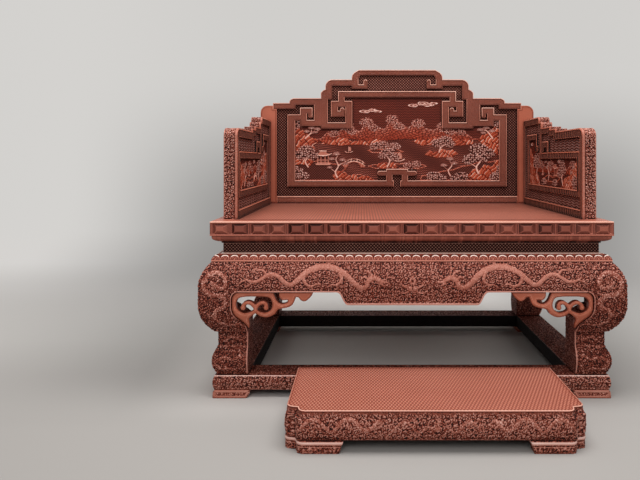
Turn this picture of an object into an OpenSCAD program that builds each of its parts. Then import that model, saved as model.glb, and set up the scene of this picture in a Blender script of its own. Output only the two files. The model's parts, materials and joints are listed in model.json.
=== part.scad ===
// Carved lacquer throne with its footstool: bulging legs on a base frame, a recessed waist,
// a framed seat, and a stepped back and arms with raised fret frames round carved pictures.
// Sizes are in millimetres. -Y is the front and +Z is up; left and right are as seen from the front.

/* [Seat] */
// Width of the seat frame across the front
seat_w = 1150; // [1060:10:1260]
// Depth of the seat frame from front to back
seat_d = 845; // [780:5:920]
// Height of the seat's top above the floor
seat_h = 505; // [490:1:540]
// Height of the upright block band round the seat frame
seat_edge_h = 41; // [34:1:48]
// Height of the hollow moulding under the block band
cove_h = 23; // [18:1:28]
// How far the hollow moulding draws in
cove_in = 28; // [24:1:31]
// Width of the seat frame's rails
seat_rail_w = 95; // [85:1:110]
// Thickness of the panel let into the seat frame
seat_panel_t = 12; // [8:1:16]
// Width of the ledge that carries the seat panel
seat_ledge = 25; // [18:1:30]
// Number of battens under the seat panel
batten_count = 3; // [2:1:5]
// Width of one batten
batten_w = 45; // [30:1:60]
// Height of one batten
batten_h = 28; // [20:1:34]

/* [Waist] */
// Height of the recessed waist boards
waist_h = 30; // [24:1:38]
// How far the waist stands in from the seat's edge
waist_in = 32; // [28:1:36]
// Thickness of the waist boards
waist_t = 10; // [8:1:14]
// Height of the sloping moulding between waist and apron
shoulder_h = 20; // [16:1:26]

/* [Legs and aprons] */
// How far the legs and aprons bulge out past the seat's edge
bulge_out = 29.5; // [24:0.5:36]
// How far the top of the legs stands in from the seat's edge
leg_top_in = 3; // [0:0.5:6]
// How far the neck above the foot stands in from the seat's edge
neck_in = 18; // [14:1:22]
// How far the swelling of the foot stands in from the seat's edge
foot_in = 2.5; // [1:0.5:6]
// Height of the foot's swelling above the base frame
foot_swell_h = 81; // [70:1:90]
// Distance from the seat's edge to the inner side of a leg
leg_inner = 107; // [100:1:115]
// Height of the apron at its ends
apron_h = 82; // [76:1:90]
// How far the apron's middle lobe drops below its ends
lobe_drop = 36; // [28:0.5:46]
// Half length of the front and back lobe at its foot
lobe_half_front = 180; // [150:1:220]
// Half length of the side lobes at their foot
lobe_half_side = 70; // [50:1:80]
// How far the lobe's ends slope out
lobe_slope = 34; // [20:1:40]
// Thickness of the aprons
apron_t = 32; // [28:0.5:32]
// Side of the square post that carries the seat on each leg
post_w = 24; // [18:1:28]

/* [Corner brackets] */
// Thickness of the openwork brackets
bracket_t = 22; // [16:1:24]
// How far the brackets stand back from the apron's face
bracket_in = 6; // [4:0.5:8]
// Width of the two curls inside the ring
curl_w = 10.5; // [8:0.5:12]

/* [Base frame] */
// Height of the base frame's rails
base_rail_h = 43; // [36:1:52]
// How far the base rails' top edge stands in from the seat's edge
base_in = 12; // [10:1:14]
// How far the rails' outer side swells
base_swell = 6; // [3:0.5:8]
// Height of the corner feet under the base frame
base_foot_h = 22; // [16:1:28]
// Length of a corner foot along each rail
base_foot_l = 107; // [100:1:130]
// How far the foot's inner ends slope
base_foot_slope = 11; // [6:1:16]

/* [Back] */
// Distance from the seat's side edge to the outer faces of the back and arms
side_in = 23; // [15:0.5:30]
// Height of the back above the seat at its crest
back_h = 539.5; // [535:0.5:545]
// Whole thickness of the back
back_t = 42; // [36:1:50]
// Length of the lowest tier at each end
end_l = 50; // [44:1:56]
// Length of the tier above it
fourth_l = 66; // [60:1:72]
// Length of the tier over the small scroll
third_l = 127.4; // [122:0.2:134]
// Width of the shoulder over the big scroll
scroll_l = 18.6; // [16:0.2:20]
// Length of the tier below the crest
second_l = 106; // [100:1:112]
// Height of the crest above the second tier
crest_rise = 39; // [36:1:42]
// Height of the third tier above the seat
third_h = 425; // [422:1:428]
// Height of the fourth tier above the seat
fourth_h = 406; // [403:1:409]
// Height of the end stiles above the seat
stile_h = 395; // [390:1:400]
// Width of the plain end stiles
stile_w = 65; // [60:1:70]
// Height of the back's bottom rail
back_rail_h = 29; // [24:1:34]

/* [Arms] */
// Distance from the seat's front edge to the arms
arm_front = 80; // [70:1:110]
// Whole thickness of an arm
arm_t = 40; // [36:1:46]
// Height of the arm's front tier above the seat
arm_low_h = 270; // [266:1:274]
// Height of the arm's middle tier above the seat
arm_mid_h = 290; // [287:1:294]
// Height of the arm's rear tier above the seat
arm_high_h = 333; // [328:1:340]
// Length of the front tier
arm_low_l = 280; // [270:1:290]
// Length out to the end of the middle tier
arm_mid_l = 458; // [450:1:466]
// Height of the front end's rounded corner
arm_corner_h = 24; // [18:1:30]
// Depth of the front end's rounded corner
arm_corner_l = 36; // [28:1:44]

/* [Fret frames] */
// Height of the level bands on the back
fret_w = 25; // [23:0.5:26]
// Width of the upright bands on the back
fret_side_w = 27.5; // [25:0.5:29]
// Width of the bands on the arms
arm_fret_w = 21; // [19:0.5:23]
// How far the bands stand out of the ground
fret_t = 7; // [5:0.5:9]
// Thickness of the carved picture boards
scene_t = 3; // [2:0.5:4]
// Gap between a picture board and the bands round it
scene_gap = 0.5; // [0.3:0.1:1]
// Radius of the rounded corners on the back
round_r = 28; // [22:1:30]
// Width of the patterned border beside the picture frame
border_w = 43.5; // [38:0.5:46]
// Height of the patterned border under the picture frame
border_h = 38; // [34:1:44]
// Width of the big squared scrolls
big_scroll_w = 127; // [122:1:132]
// Height of the big squared scrolls
big_scroll_h = 112; // [106:1:118]
// Width of the small squared scrolls
small_scroll_w = 84; // [80:1:88]
// Height of the small squared scrolls
small_scroll_h = 75; // [70:1:78]
// Height of the arm's picture frame above the seat
arm_frame_low = 62; // [56:1:68]
// Height of the top of the arm's picture frame
arm_frame_top = 201; // [196:1:206]

/* [Loose tenons] */
// Length of a tenon
tenon_l = 60; // [40:1:80]
// Thickness of a tenon
tenon_t = 12; // [8:1:14]
// Height of a tenon, half of it in the seat
tenon_h = 40; // [30:1:50]

/* [Footstool] */
// Width of the footstool's top
stool_w = 705; // [640:5:760]
// Depth of the footstool's top
stool_d = 325; // [280:5:360]
// Height of the footstool
stool_h = 98; // [90:1:110]
// Gap between the seat's front edge and the footstool's top, seen from above
stool_gap = 27; // [20:1:60]
// How far the footstool stands to the right of the middle
stool_shift = 32; // [0:1:60]
// Thickness of the footstool's top board
stool_top_t = 14; // [10:1:18]
// Thickness of the footstool's aprons
stool_apron_t = 24; // [18:1:28]
// How far the aprons swell past the top
stool_swell = 7; // [4:0.5:10]
// Height of the footstool's feet
stool_foot_h = 30; // [24:1:36]
// Length of a foot along the front
stool_foot_l = 141; // [110:1:170]
// Length of a foot along the side
stool_foot_side = 100; // [80:1:120]
// Size of the notched corners
stool_corner = 46; // [36:1:50]

/* [Fits] */
// Clearance round let-in panels and tenons
fit_gap = 0.3; // [0.1:0.05:0.5]

/* [Hidden] */
FRONT = 0;
RIGHT = 1;
BACK = 2;
LEFT = 3;
SIDES = ["front", "right", "back", "left"];
CORNERS = [["front_left", -1, -1], ["front_right", 1, -1], ["back_left", -1, 1], ["back_right", 1, 1]];
HANDS = [["left", -1], ["right", 1]];
// Each bracket's name, its side, and whether it is at the far end of that side
BRACKETS = [
    ["bracket_front_left", FRONT, false], ["bracket_front_right", FRONT, true],
    ["bracket_right_front", RIGHT, false], ["bracket_right_back", RIGHT, true],
    ["bracket_back_right", BACK, false], ["bracket_back_left", BACK, true],
    ["bracket_left_back", LEFT, false], ["bracket_left_front", LEFT, true]];

lacquer = "#a2503f";
lacquer_dark = "#7c3a2e";
lacquer_carved = "#8d5346";
core_wood = "#6b4a35";

// Heights from the floor up, and distances in from the seat's edge
base_h = base_foot_h + base_rail_h;
seat_under = seat_h - seat_edge_h - cove_h;
waist_z = seat_under - waist_h;
leg_top = waist_z - shoulder_h;
apron_z = leg_top - apron_h;
panel_z = seat_h - seat_panel_t;
ledge_in = seat_rail_w - seat_ledge;
post_in = waist_in + waist_t;
mitre_in = leg_top_in + apron_t;
// Room past the seat's edge, and room inside it, that every cutting shape covers
reach = 60;
deep = 170;

// Points along an arc from angle a0 to a1
function arc(c, r, a0, a1, n) =
    [for (i = [0:n]) c + r * [cos(a0 + (a1 - a0) * i / n), sin(a0 + (a1 - a0) * i / n)]];

// Radius and half angle of an arc with the given half chord and rise
function arc_r(half_chord, rise) = (pow(rise, 2) + pow(half_chord, 2)) / (2 * rise);
function arc_turn(half_chord, rise) = asin(half_chord / arc_r(half_chord, rise));

// Points along a cubic curve
function curve(a, b, c, d, n) =
    [for (i = [0:n]) let (t = i / n, s = 1 - t) s*s*s*a + 3*s*s*t*b + 3*s*t*t*c + t*t*t*d];

// Smooth line through points, with n steps from each to the next
function smooth(p, n) = let (last = len(p) - 1) concat(
    [for (k = [0:last - 1]) for (i = [0:n - 1])
        let (a = p[max(k - 1, 0)], b = p[k], c = p[k + 1], d = p[min(k + 2, last)], t = i / n)
        0.5 * (2*b + (c - a)*t + (2*a - 5*b + 4*c - d)*t*t + (3*b - a - 3*c + d)*t*t*t)],
    [p[last]]);

function unit(v) = v / norm(v);
function side_normal(p, i) =
    let (v = unit(p[min(i + 1, len(p) - 1)] - p[max(i - 1, 0)])) [-v[1], v[0]];

// Outline of a strap of width w that follows a line
function strap(p, w) = concat(
    [for (i = [0:len(p) - 1]) p[i] + side_normal(p, i) * w / 2],
    [for (i = [len(p) - 1:-1:0]) p[i] - side_normal(p, i) * w / 2]);

function shifted(p, d) = [for (q = p) [q[0] + d, q[1]]];
function turned(p) = [for (i = [len(p) - 1:-1:0]) p[i]];
function flipped(p) = [for (i = [len(p) - 1:-1:0]) [-p[i][0], p[i][1]]];
function side_len(k) = k == FRONT || k == BACK ? seat_w : seat_d;

// Places a piece drawn at the front edge on one of the seat's four sides: X runs along, +Y inwards
module at_side(k) {
    if (k == FRONT) children();
    if (k == RIGHT) translate([seat_w / 2, seat_d / 2, 0]) rotate(90) children();
    if (k == BACK) translate([0, seat_d, 0]) rotate(180) children();
    if (k == LEFT) translate([-seat_w / 2, seat_d / 2, 0]) rotate(-90) children();
}

module mirrored_x(on) {
    if (on) mirror([1, 0, 0]) children();
    else children();
}

module mirrored_y(on) {
    if (on) mirror([0, 1, 0]) children();
    else children();
}

// Places a piece drawn at the front left corner, with +X and +Y inwards
module at_corner(fx, fy) {
    translate([fx * seat_w / 2, fy < 0 ? 0 : seat_d, 0])
        mirrored_x(fx > 0) mirrored_y(fy > 0) children();
}

// Puts the middle of the whole group, from the footstool to the rear shoulders, at the origin
middle_y = (seat_d + bulge_out - stool_gap - stool_d - stool_swell) / 2;
module placed() {
    translate([0, -middle_y, 0]) children();
}

// Extrudes a section given in (Y, Z) along X
module along_x(length) {
    rotate([90, 0, 90]) linear_extrude(length, center = true) children();
}

// Extrudes a front view given in (X, Z) along Y, from y0 to y1
module along_y(y0, y1) {
    translate([0, y1, 0]) rotate([90, 0, 0]) linear_extrude(y1 - y0) children();
}

// Rectangle from corner to corner
module bar(x0, x1, z0, z1) {
    translate([x0, z0]) square([x1 - x0, z1 - z0]);
}

// Band with square corners that follows a line, as wide as the brush is wide and high
module band(p, brush) {
    for (i = [0:len(p) - 2]) let (a = p[i], b = p[i + 1])
        bar(min(a[0], b[0]) - brush[0] / 2, max(a[0], b[0]) + brush[0] / 2,
            min(a[1], b[1]) - brush[1] / 2, max(a[1], b[1]) + brush[1] / 2);
}

// Bar with the given section and mitred ends, for a side of the given length
module mitred_bar(length, section) {
    half = length / 2;
    intersection() {
        along_x(length + 2 * reach) polygon(section);
        linear_extrude(seat_h + back_h)
            polygon([[-half - reach, -reach], [half + reach, -reach], [half - deep, deep], [-half + deep, deep]]);
    }
}

// Solid with the same outline in the front view and in the side view
module both_views(outline) {
    intersection() {
        along_y(-reach, deep) polygon(outline);
        translate([deep / 2, 0, 0]) along_x(deep + 2 * reach) polygon(outline);
    }
}

// Outer line of leg and apron, as [distance in from the seat's edge, height]
upper_drop = 71;
straight_h = 45;
lower_drop = 84;
lower_in = 8;
neck_drop = 4;
swell_z = leg_top - upper_drop;
lower_z = swell_z - straight_h;
neck_z = lower_z - lower_drop - neck_drop;
upper_out = bulge_out + leg_top_in;
lower_out = bulge_out + lower_in;
shoulder_line = concat(
    arc([arc_r(upper_drop, upper_out) - bulge_out, swell_z], arc_r(upper_drop, upper_out),
        180 - arc_turn(upper_drop, upper_out), 180, 10),
    arc([arc_r(lower_drop, lower_out) - bulge_out, lower_z], arc_r(lower_drop, lower_out),
        180, 180 + arc_turn(lower_drop, lower_out), 10));
foot_half = foot_swell_h / 2;
foot_out = neck_in - foot_in;
foot_line = arc([arc_r(foot_half, foot_out) + foot_in, base_h + foot_half], arc_r(foot_half, foot_out),
    180 - arc_turn(foot_half, foot_out), 180 + arc_turn(foot_half, foot_out), 10);

// Inner line of the leg's face, from its ankle up to the apron's rounded corner
corner_in = 66;
corner_r = 20;
ankle_z = apron_z - 114;
inner_line = concat(
    curve([leg_inner, ankle_z], [leg_inner, apron_z - 78], [corner_in, apron_z - 84], [corner_in, apron_z - 44], 8),
    arc([corner_in + corner_r, apron_z - corner_r], corner_r, 180, 90, 5));
leg_face = concat(shoulder_line, [[neck_in, neck_z]], foot_line, [[leg_inner, base_h]], inner_line,
    [[mitre_in, leg_top]]);
// The timber behind the leg's face, which stays straight up to the brackets
core_in = 25;
leg_core = [[core_in, base_h], [leg_inner, base_h], [leg_inner, apron_z - 84],
    [corner_in + 4, apron_z - 47], [core_in, apron_z - 47]];

module leg() {
    color(lacquer_carved) {
        both_views(leg_face);
        both_views(leg_core);
        translate([post_in, post_in, apron_z]) cube([post_w, post_w, seat_under - apron_z]);
    }
}

function apron_outline(k) = let (
    half = side_len(k) / 2,
    lobe = k == FRONT || k == BACK ? lobe_half_front : lobe_half_side,
    right = concat(
        curve([lobe, apron_z - lobe_drop], [lobe + lobe_slope * 0.5, apron_z - lobe_drop],
              [lobe + lobe_slope * 0.5, apron_z], [lobe + lobe_slope, apron_z], 6),
        [[half - corner_in - corner_r, apron_z], [half - mitre_in, leg_top]]))
    concat(right, flipped(right));

// Section of a board that follows the bulge, from depth d0 to d1 behind its face
function bulge_section(d0, d1) = concat(shifted(shoulder_line, d0), turned(shifted(shoulder_line, d1)));

module apron(k) {
    color(lacquer_carved) intersection() {
        along_x(side_len(k) + 2 * reach) polygon(bulge_section(0, apron_t));
        along_y(-reach, deep) polygon(apron_outline(k));
    }
}

// Bracket drawn as [distance in from the seat's side edge, height above the apron's lower edge]
bracket_l = 231;
bracket_pendant = smooth([[291, -11], [282, -21], [271, -27], [260, -23], [255, -16], [247, -14]], 2);
bracket_hook = smooth([[243, -25], [237, -37], [223, -44], [207, -47], [196, -50]], 2);
bracket_ring = smooth([[188, -63], [174, -71], [159, -73], [144, -69], [134, -60]], 2);
bracket_tail = smooth([[126, -66], [116, -74], [113, -82], [115, -95], [110, -112]], 2);
bracket_opening = concat(
    smooth([[133, -49], [121, -56], [102, -61], [85, -52], [79, -38], [81, -24], [93, -15], [130, -13],
            [168, -15], [178, -24], [181, -38], [177, -50], [162, -59], [146, -57]], 2),
    [[135, -50]]);
hook_opening = smooth([[183, 1], [190, -18], [196, -28], [204, -33], [215, -33], [224, -28], [224, -23],
    [216, -23], [208, -23], [202, -17], [199, -9], [200, 1]], 2);
curls = [[[133, -56], [133, -46], [126, -37], [117, -31], [107, -31], [99, -38], [98, -45]],
         [[134, -56], [134, -46], [140, -37], [149, -31], [158, -31], [164, -38], [163, -45]]];
curl_head_r = 7;

module bracket_outline() {
    intersection() {
        bar(corner_in, corner_in + bracket_l, -2 * reach, 0);
        union() {
            difference() {
                polygon(concat(
                    [[corner_in + bracket_l, 0]], bracket_pendant, bracket_hook, bracket_ring, bracket_tail,
                    [for (p = inner_line) if (p[1] > ankle_z + 2) [p[0] + fit_gap, p[1] - apron_z]]));
                polygon(bracket_opening);
                polygon(hook_opening);
            }
            for (p = curls) {
                polygon(strap(smooth(p, 2), curl_w));
                translate(p[len(p) - 1]) circle(curl_head_r, $fn = 24);
            }
        }
    }
}

module bracket(k, far_end) {
    color(lacquer) mirrored_x(far_end) intersection() {
        along_y(-reach, deep) translate([-side_len(k) / 2, apron_z]) bracket_outline();
        along_x(side_len(k)) polygon(bulge_section(bracket_in, bracket_in + bracket_t));
    }
}

module shoulder_moulding(k) {
    lip = 3.5;
    color(lacquer) mitred_bar(side_len(k), concat(
        [[leg_top_in, leg_top]],
        curve([leg_top_in, leg_top + lip], [leg_top_in + 4, waist_z - 8], [waist_in - 14, waist_z - 1],
              [waist_in - 1, waist_z], 6),
        [[post_in, waist_z], [post_in, leg_top]]));
}

module waist_board(k) {
    color(lacquer_dark) mitred_bar(side_len(k), [
        [waist_in, waist_z], [waist_in, seat_under], [post_in, seat_under], [post_in, waist_z]]);
}

// Section of the seat frame: block band, fillet, hollow moulding and the ledge for the panel
edge_round = 2;
fillet = 4;
seat_section = concat(
    [[edge_round, seat_h], [0, seat_h - edge_round], [0, seat_h - seat_edge_h], [fillet, seat_h - seat_edge_h]],
    curve([fillet, seat_h - seat_edge_h - fillet], [fillet + 2, seat_under + 2 * fillet],
          [cove_in - 10, seat_under + fillet + 2], [cove_in, seat_under + fillet], 6),
    [[cove_in, seat_under], [seat_rail_w, seat_under], [seat_rail_w, panel_z], [ledge_in, panel_z],
     [ledge_in, seat_h]]);

// The loose tenons: three under the back and two under each arm, half in the seat
arm_core_t = arm_t - fret_t;
arm_l = seat_d - back_t - arm_front;
back_half = seat_w / 2 - side_in;
back_tenon_x = [-0.7, 0, 0.7];
arm_tenon_y = [0.2, 0.8];
module back_tenon_blocks(gap) {
    for (f = back_tenon_x)
        translate([f * back_half - tenon_l / 2 - gap, seat_d - (back_t - fret_t + tenon_t) / 2 - gap,
                   seat_h - tenon_h / 2])
            cube([tenon_l + 2 * gap, tenon_t + 2 * gap, tenon_h + gap]);
}

module arm_tenon_blocks(gap) {
    for (h = HANDS) for (f = arm_tenon_y)
        translate([h[1] * (back_half - arm_core_t / 2) - tenon_t / 2 - gap,
                   arm_front + f * arm_l - tenon_l / 2 - gap, seat_h - tenon_h / 2])
            cube([tenon_t + 2 * gap, tenon_l + 2 * gap, tenon_h + gap]);
}

module seat_rail(k) {
    color(lacquer) difference() {
        at_side(k) mitred_bar(side_len(k), seat_section);
        back_tenon_blocks(fit_gap);
        arm_tenon_blocks(fit_gap);
    }
}

module seat_panel() {
    panel_in = ledge_in + fit_gap;
    color(lacquer) translate([-seat_w / 2 + panel_in, panel_in, panel_z])
        cube([seat_w - 2 * panel_in, seat_d - 2 * panel_in, seat_panel_t]);
}

module seat_battens() {
    inner_w = seat_w - 2 * seat_rail_w;
    color(core_wood) for (i = [1:batten_count])
        translate([inner_w * (i / (batten_count + 1) - 0.5) - batten_w / 2, seat_rail_w, panel_z - batten_h])
            cube([batten_w, seat_d - 2 * seat_rail_w, batten_h]);
}

module base_rail(k) {
    half = base_rail_h / 2;
    color(lacquer_carved) mitred_bar(side_len(k), concat(
        arc([base_in - base_swell + arc_r(half, base_swell), base_foot_h + half], arc_r(half, base_swell),
            180 - arc_turn(half, base_swell), 180 + arc_turn(half, base_swell), 8),
        [[leg_inner, base_foot_h], [leg_inner, base_h]]));
}

module base_foot() {
    foot_out = base_in - base_swell;
    color(lacquer) both_views([
        [foot_out, 0], [foot_out + 3, base_foot_h],
        [foot_out + base_foot_l, base_foot_h], [foot_out + base_foot_l - base_foot_slope, 0]]);
}

// The back's steps, measured from its middle, with heights above the seat
fourth_half = back_half - end_l;
third_half = fourth_half - fourth_l;
scroll_half = third_half - third_l;
second_half = scroll_half - scroll_l;
crest_half = second_half - second_l;
second_h = back_h - crest_rise;
back_face = seat_d - back_t;
back_ground = back_face + fret_t;
crest_corner = [[crest_half - 29, back_h], [crest_half - 12, back_h - 10], [crest_half - 3, back_h - 20],
    [crest_half, back_h - 32]];
shoulder_corner = [[second_half, third_h + 36], [second_half + 9, third_h + 32], [scroll_half, third_h + 22]];
third_corner = [[third_half - 16, third_h], [third_half - 5, third_h - 5], [third_half, third_h - 14]];
stile_corner = arc([back_half - round_r, stile_h - round_r], round_r, 90, 0, 6);
second_corner = arc([second_half - round_r, second_h - round_r], round_r, 90, 0, 6);
back_right = concat(
    crest_corner, [[crest_half, second_h]], second_corner, shoulder_corner, [[scroll_half, third_h]], third_corner,
    [[third_half, fourth_h], [fourth_half, fourth_h], [fourth_half, stile_h]], stile_corner, [[back_half, 0]]);

module back_outline() {
    polygon(concat(back_right, flipped(back_right)));
}

module back_panel() {
    color(lacquer_dark) difference() {
        along_y(back_ground, seat_d) translate([0, seat_h]) back_outline();
        back_tenon_blocks(fit_gap);
    }
}

// Places for the picture frame and the squared scrolls on the back
frame_w = 31;
frame_half = back_half - stile_w - border_w;
frame_low = back_rail_h + border_h;
frame_turn_h = fourth_h - 47;
frame_top = second_h - 47;
big_low = third_h - 123;
small_low = third_h - 113;
knot_h = 72;
knot_half = 44;
head_r = 8;

// Crest band, from its middle round to the curl at its foot
crest_band = 22;
crest_foot = 17;
crest_foot_l = 64;
module crest_fret() {
    foot_top = second_h - 20;
    curl_x = crest_half - crest_foot_l;
    inner_x = crest_half - fret_side_w;
    inner_top = back_h - crest_band;
    bar(0, crest_half, inner_top, back_h);
    bar(inner_x, crest_half, foot_top - crest_foot, back_h);
    polygon([[inner_x - 7, inner_top + 1], [inner_x - 7, inner_top], [inner_x, inner_top - 16],
        [inner_x + 1, inner_top - 16], [inner_x + 1, inner_top + 1]]);
    bar(curl_x, crest_half, foot_top - crest_foot, foot_top);
    bar(curl_x, curl_x + 2 * head_r, foot_top - crest_foot, second_h - head_r);
    translate([curl_x + head_r, second_h - head_r]) circle(head_r, $fn = 24);
}

// Second tier's band, which runs down over the shoulder into the big squared scroll
module big_scroll() {
    brush = [fret_side_w, fret_w];
    low = big_low + fret_w / 2;
    top = big_low + big_scroll_h - fret_w / 2;
    outer = scroll_half - fret_side_w / 2;
    inner = scroll_half - big_scroll_w + fret_side_w / 2;
    turn = scroll_half - 55;
    side = second_half - fret_side_w / 2;
    end = [inner + 31, big_low + 60];
    head_top = end[1] + 24;
    band([[crest_half, second_h - fret_w / 2], [side, second_h - fret_w / 2], [side, third_h + 24]], brush);
    bar(second_half - fret_side_w, scroll_half, third_h - 5, third_h + 36);
    band([[outer, third_h], [outer, low], [inner, low], [inner, top], [turn, top], [turn, end[1]], end], brush);
    bar(end[0] - fret_side_w / 2, end[0] + head_r / 2, end[1], head_top - head_r);
    translate([end[0] - fret_side_w / 2 + 9, head_top - head_r]) circle(9, $fn = 24);
}

// Third tier's band with the small squared scroll, and the fourth tier's band
module small_scroll() {
    brush = [fret_side_w, fret_w];
    low = small_low + fret_w / 2;
    top = small_low + small_scroll_h - fret_w / 2;
    inner = scroll_half + fret_side_w / 2;
    outer = scroll_half + small_scroll_w - fret_side_w / 2;
    curl_x = scroll_half + 34;
    curl_low = top - fret_w / 2 - 10;
    bar(scroll_half, third_half, third_h - fret_side_w, third_h);
    band([[inner, third_h - fret_w / 2], [inner, low], [outer, low], [outer, top], [curl_x + fret_side_w / 2, top]],
        brush);
    bar(curl_x, curl_x + 2 * head_r, curl_low, top);
    translate([curl_x + head_r, curl_low]) circle(head_r, $fn = 24);
    bar(third_half - fret_w, fourth_half, fourth_h - fret_w, fourth_h);
}

// Picture frame, from the middle of its top round to the knot in the middle of its foot
module picture_frame() {
    brush = [frame_w, fret_w];
    side = frame_half - frame_w / 2;
    foot = frame_low + fret_w / 2;
    scroll_x = scroll_half - big_scroll_w + 44;
    link_x = scroll_half + small_scroll_w + 10;
    knot_top = frame_low + knot_h - fret_w / 2;
    band([[0, frame_top - fret_w / 2], [scroll_x, frame_top - fret_w / 2],
          [scroll_x, big_low + big_scroll_h - fret_w / 2]], [fret_side_w - 2, fret_w]);
    band([[link_x, frame_turn_h - fret_w / 2], [side, frame_turn_h - fret_w / 2], [side, foot],
          [knot_half - frame_w / 2, foot]], brush);
    band([[knot_half - fret_w / 2, foot], [knot_half - fret_w / 2, knot_top], [0, knot_top]], [fret_w, fret_w]);
    bar(knot_half - 1, knot_half + 26, knot_top - 15, knot_top + 4);
    translate([knot_half + 26, knot_top - 5.5]) circle(9.5, $fn = 24);
}

module back_fret_frame() {
    color(lacquer) along_y(back_face, back_ground) translate([0, seat_h]) intersection() {
        back_outline();
        for (left = [false, true]) mirrored_x(left) {
            crest_fret();
            big_scroll();
            small_scroll();
            picture_frame();
        }
    }
}

// Carved picture board, cut to fit inside the picture frame and round the scrolls' corners
module back_scene() {
    side = frame_half - frame_w - scene_gap;
    foot = frame_low + fret_w + scene_gap;
    knot_side = knot_half + 36 + scene_gap;
    knot_top = frame_low + knot_h + scene_gap;
    small_x = scroll_half + small_scroll_w + scene_gap;
    big_x = scroll_half - big_scroll_w - scene_gap;
    half = [
        [0, knot_top], [knot_side, knot_top], [knot_side, foot], [side, foot],
        [side, frame_turn_h - fret_w - scene_gap], [small_x, frame_turn_h - fret_w - scene_gap],
        [small_x, small_low - scene_gap], [scroll_half + scene_gap, small_low - scene_gap],
        [scroll_half + scene_gap, big_low - scene_gap], [big_x, big_low - scene_gap],
        [big_x, frame_top - fret_w - scene_gap], [0, frame_top - fret_w - scene_gap]];
    color(lacquer_carved) along_y(back_ground - scene_t, back_ground) translate([0, seat_h])
        polygon(concat(half, flipped(half)));
}

module back_stile() {
    inner = back_half - stile_w;
    color(lacquer) along_y(back_face, back_ground) translate([0, seat_h]) intersection() {
        bar(inner, back_half, 0, fourth_h - fret_w);
        back_outline();
    }
    color(lacquer) along_y(back_face, back_ground) translate([0, seat_h]) intersection() {
        bar(fourth_half, back_half, 0, fourth_h);
        back_outline();
    }
}

module back_bottom_rail() {
    inner = back_half - stile_w;
    color(lacquer) along_y(back_face, back_ground) translate([0, seat_h]) bar(-inner, inner, 0, back_rail_h);
}

// Side outline of an arm: X runs back from the arm's front end, Y up from the seat
arm_step_l = 68;
arm_step_drop = 10;
arm_high_l = arm_mid_l + 46;
module arm_outline() {
    polygon(concat(
        curve([0, arm_low_h - arm_corner_h], [0, arm_low_h - arm_corner_h * 0.4],
              [arm_corner_l * 0.45, arm_low_h], [arm_corner_l, arm_low_h], 6),
        [[arm_low_l, arm_low_h], [arm_low_l, arm_mid_h - arm_step_drop],
         [arm_low_l + arm_step_l, arm_mid_h - arm_step_drop], [arm_low_l + arm_step_l, arm_mid_h],
         [arm_mid_l, arm_mid_h], [arm_mid_l, arm_high_h - 26], [arm_mid_l + 6, arm_high_h - 21],
         [arm_high_l - 12, arm_high_h - 21], [arm_high_l - 12, arm_high_h - 8], [arm_high_l, arm_high_h],
         [arm_l, arm_high_h], [arm_l, 0], [0, 0]]));
}

// Stands a side view (front to back, up) on one arm, from depth d0 to d1 in from its outer face
module on_arm(hand, d0, d1) {
    mirrored_x(hand > 0) translate([-back_half + d0, arm_front, seat_h])
        rotate([90, 0, 90]) linear_extrude(d1 - d0) children();
}

module arm_panel(hand) {
    color(lacquer_dark) difference() {
        on_arm(hand, 0, arm_core_t) arm_outline();
        arm_tenon_blocks(fit_gap);
    }
}

// Places for the picture frame and the squared scroll on an arm
arm_post_w = 24;
arm_frame_front = 31;
arm_frame_rear = arm_l - 62;
arm_turn_h = arm_high_h - 61;
arm_hook_l = 64;
arm_hook_h = 66;
arm_curl_l = 80;

// Rails, post and the band along the arm's steps, which runs down into a squared scroll
module arm_band() {
    f = arm_fret_w;
    scroll_low = arm_frame_top - f / 2;
    bar(0, arm_l, 0, f + 4);
    bar(0, arm_post_w, 0, arm_low_h);
    bar(arm_l - f, arm_l, 0, arm_high_h);
    bar(0, arm_low_l + f, arm_low_h - f - 5, arm_low_h);
    bar(arm_low_l, arm_low_l + arm_step_l + f, arm_mid_h - arm_step_drop - f, arm_mid_h - arm_step_drop);
    bar(arm_low_l + arm_step_l, arm_mid_l + f, arm_mid_h - f, arm_mid_h);
    bar(arm_high_l - f, arm_l, arm_high_h - f - 3, arm_high_h);
    band([[arm_high_l - f, arm_high_h - 21 - f / 2], [arm_mid_l + f / 2, arm_high_h - 21 - f / 2],
          [arm_mid_l + f / 2, scroll_low], [arm_mid_l - arm_curl_l, scroll_low],
          [arm_mid_l - arm_curl_l, scroll_low + 40], [arm_mid_l - 30, scroll_low + 40]], [f, f]);
    bar(arm_mid_l - 36, arm_mid_l - 36 + 2 * head_r, scroll_low + 20, scroll_low + 40);
    translate([arm_mid_l - 36 + head_r, scroll_low + 20]) circle(head_r, $fn = 24);
}

// Picture frame on an arm, with the hook at its rear top
module arm_picture_frame() {
    f = arm_fret_w;
    front = arm_frame_front + f / 2;
    rear = arm_frame_rear - f / 2;
    low = arm_frame_low + f / 2;
    hook = arm_mid_l + arm_hook_l + f / 2;
    hook_low = arm_turn_h - arm_hook_h + f / 2;
    band([[arm_mid_l - arm_curl_l, arm_frame_top - f / 2], [front, arm_frame_top - f / 2], [front, low], [rear, low],
          [rear, arm_turn_h - f / 2], [hook, arm_turn_h - f / 2], [hook, hook_low], [hook - 22, hook_low]], [f, f]);
}

module arm_fret_frame(hand) {
    color(lacquer) on_arm(hand, arm_core_t, arm_t) intersection() {
        arm_outline();
        union() {
            arm_band();
            arm_picture_frame();
        }
    }
}

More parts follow.
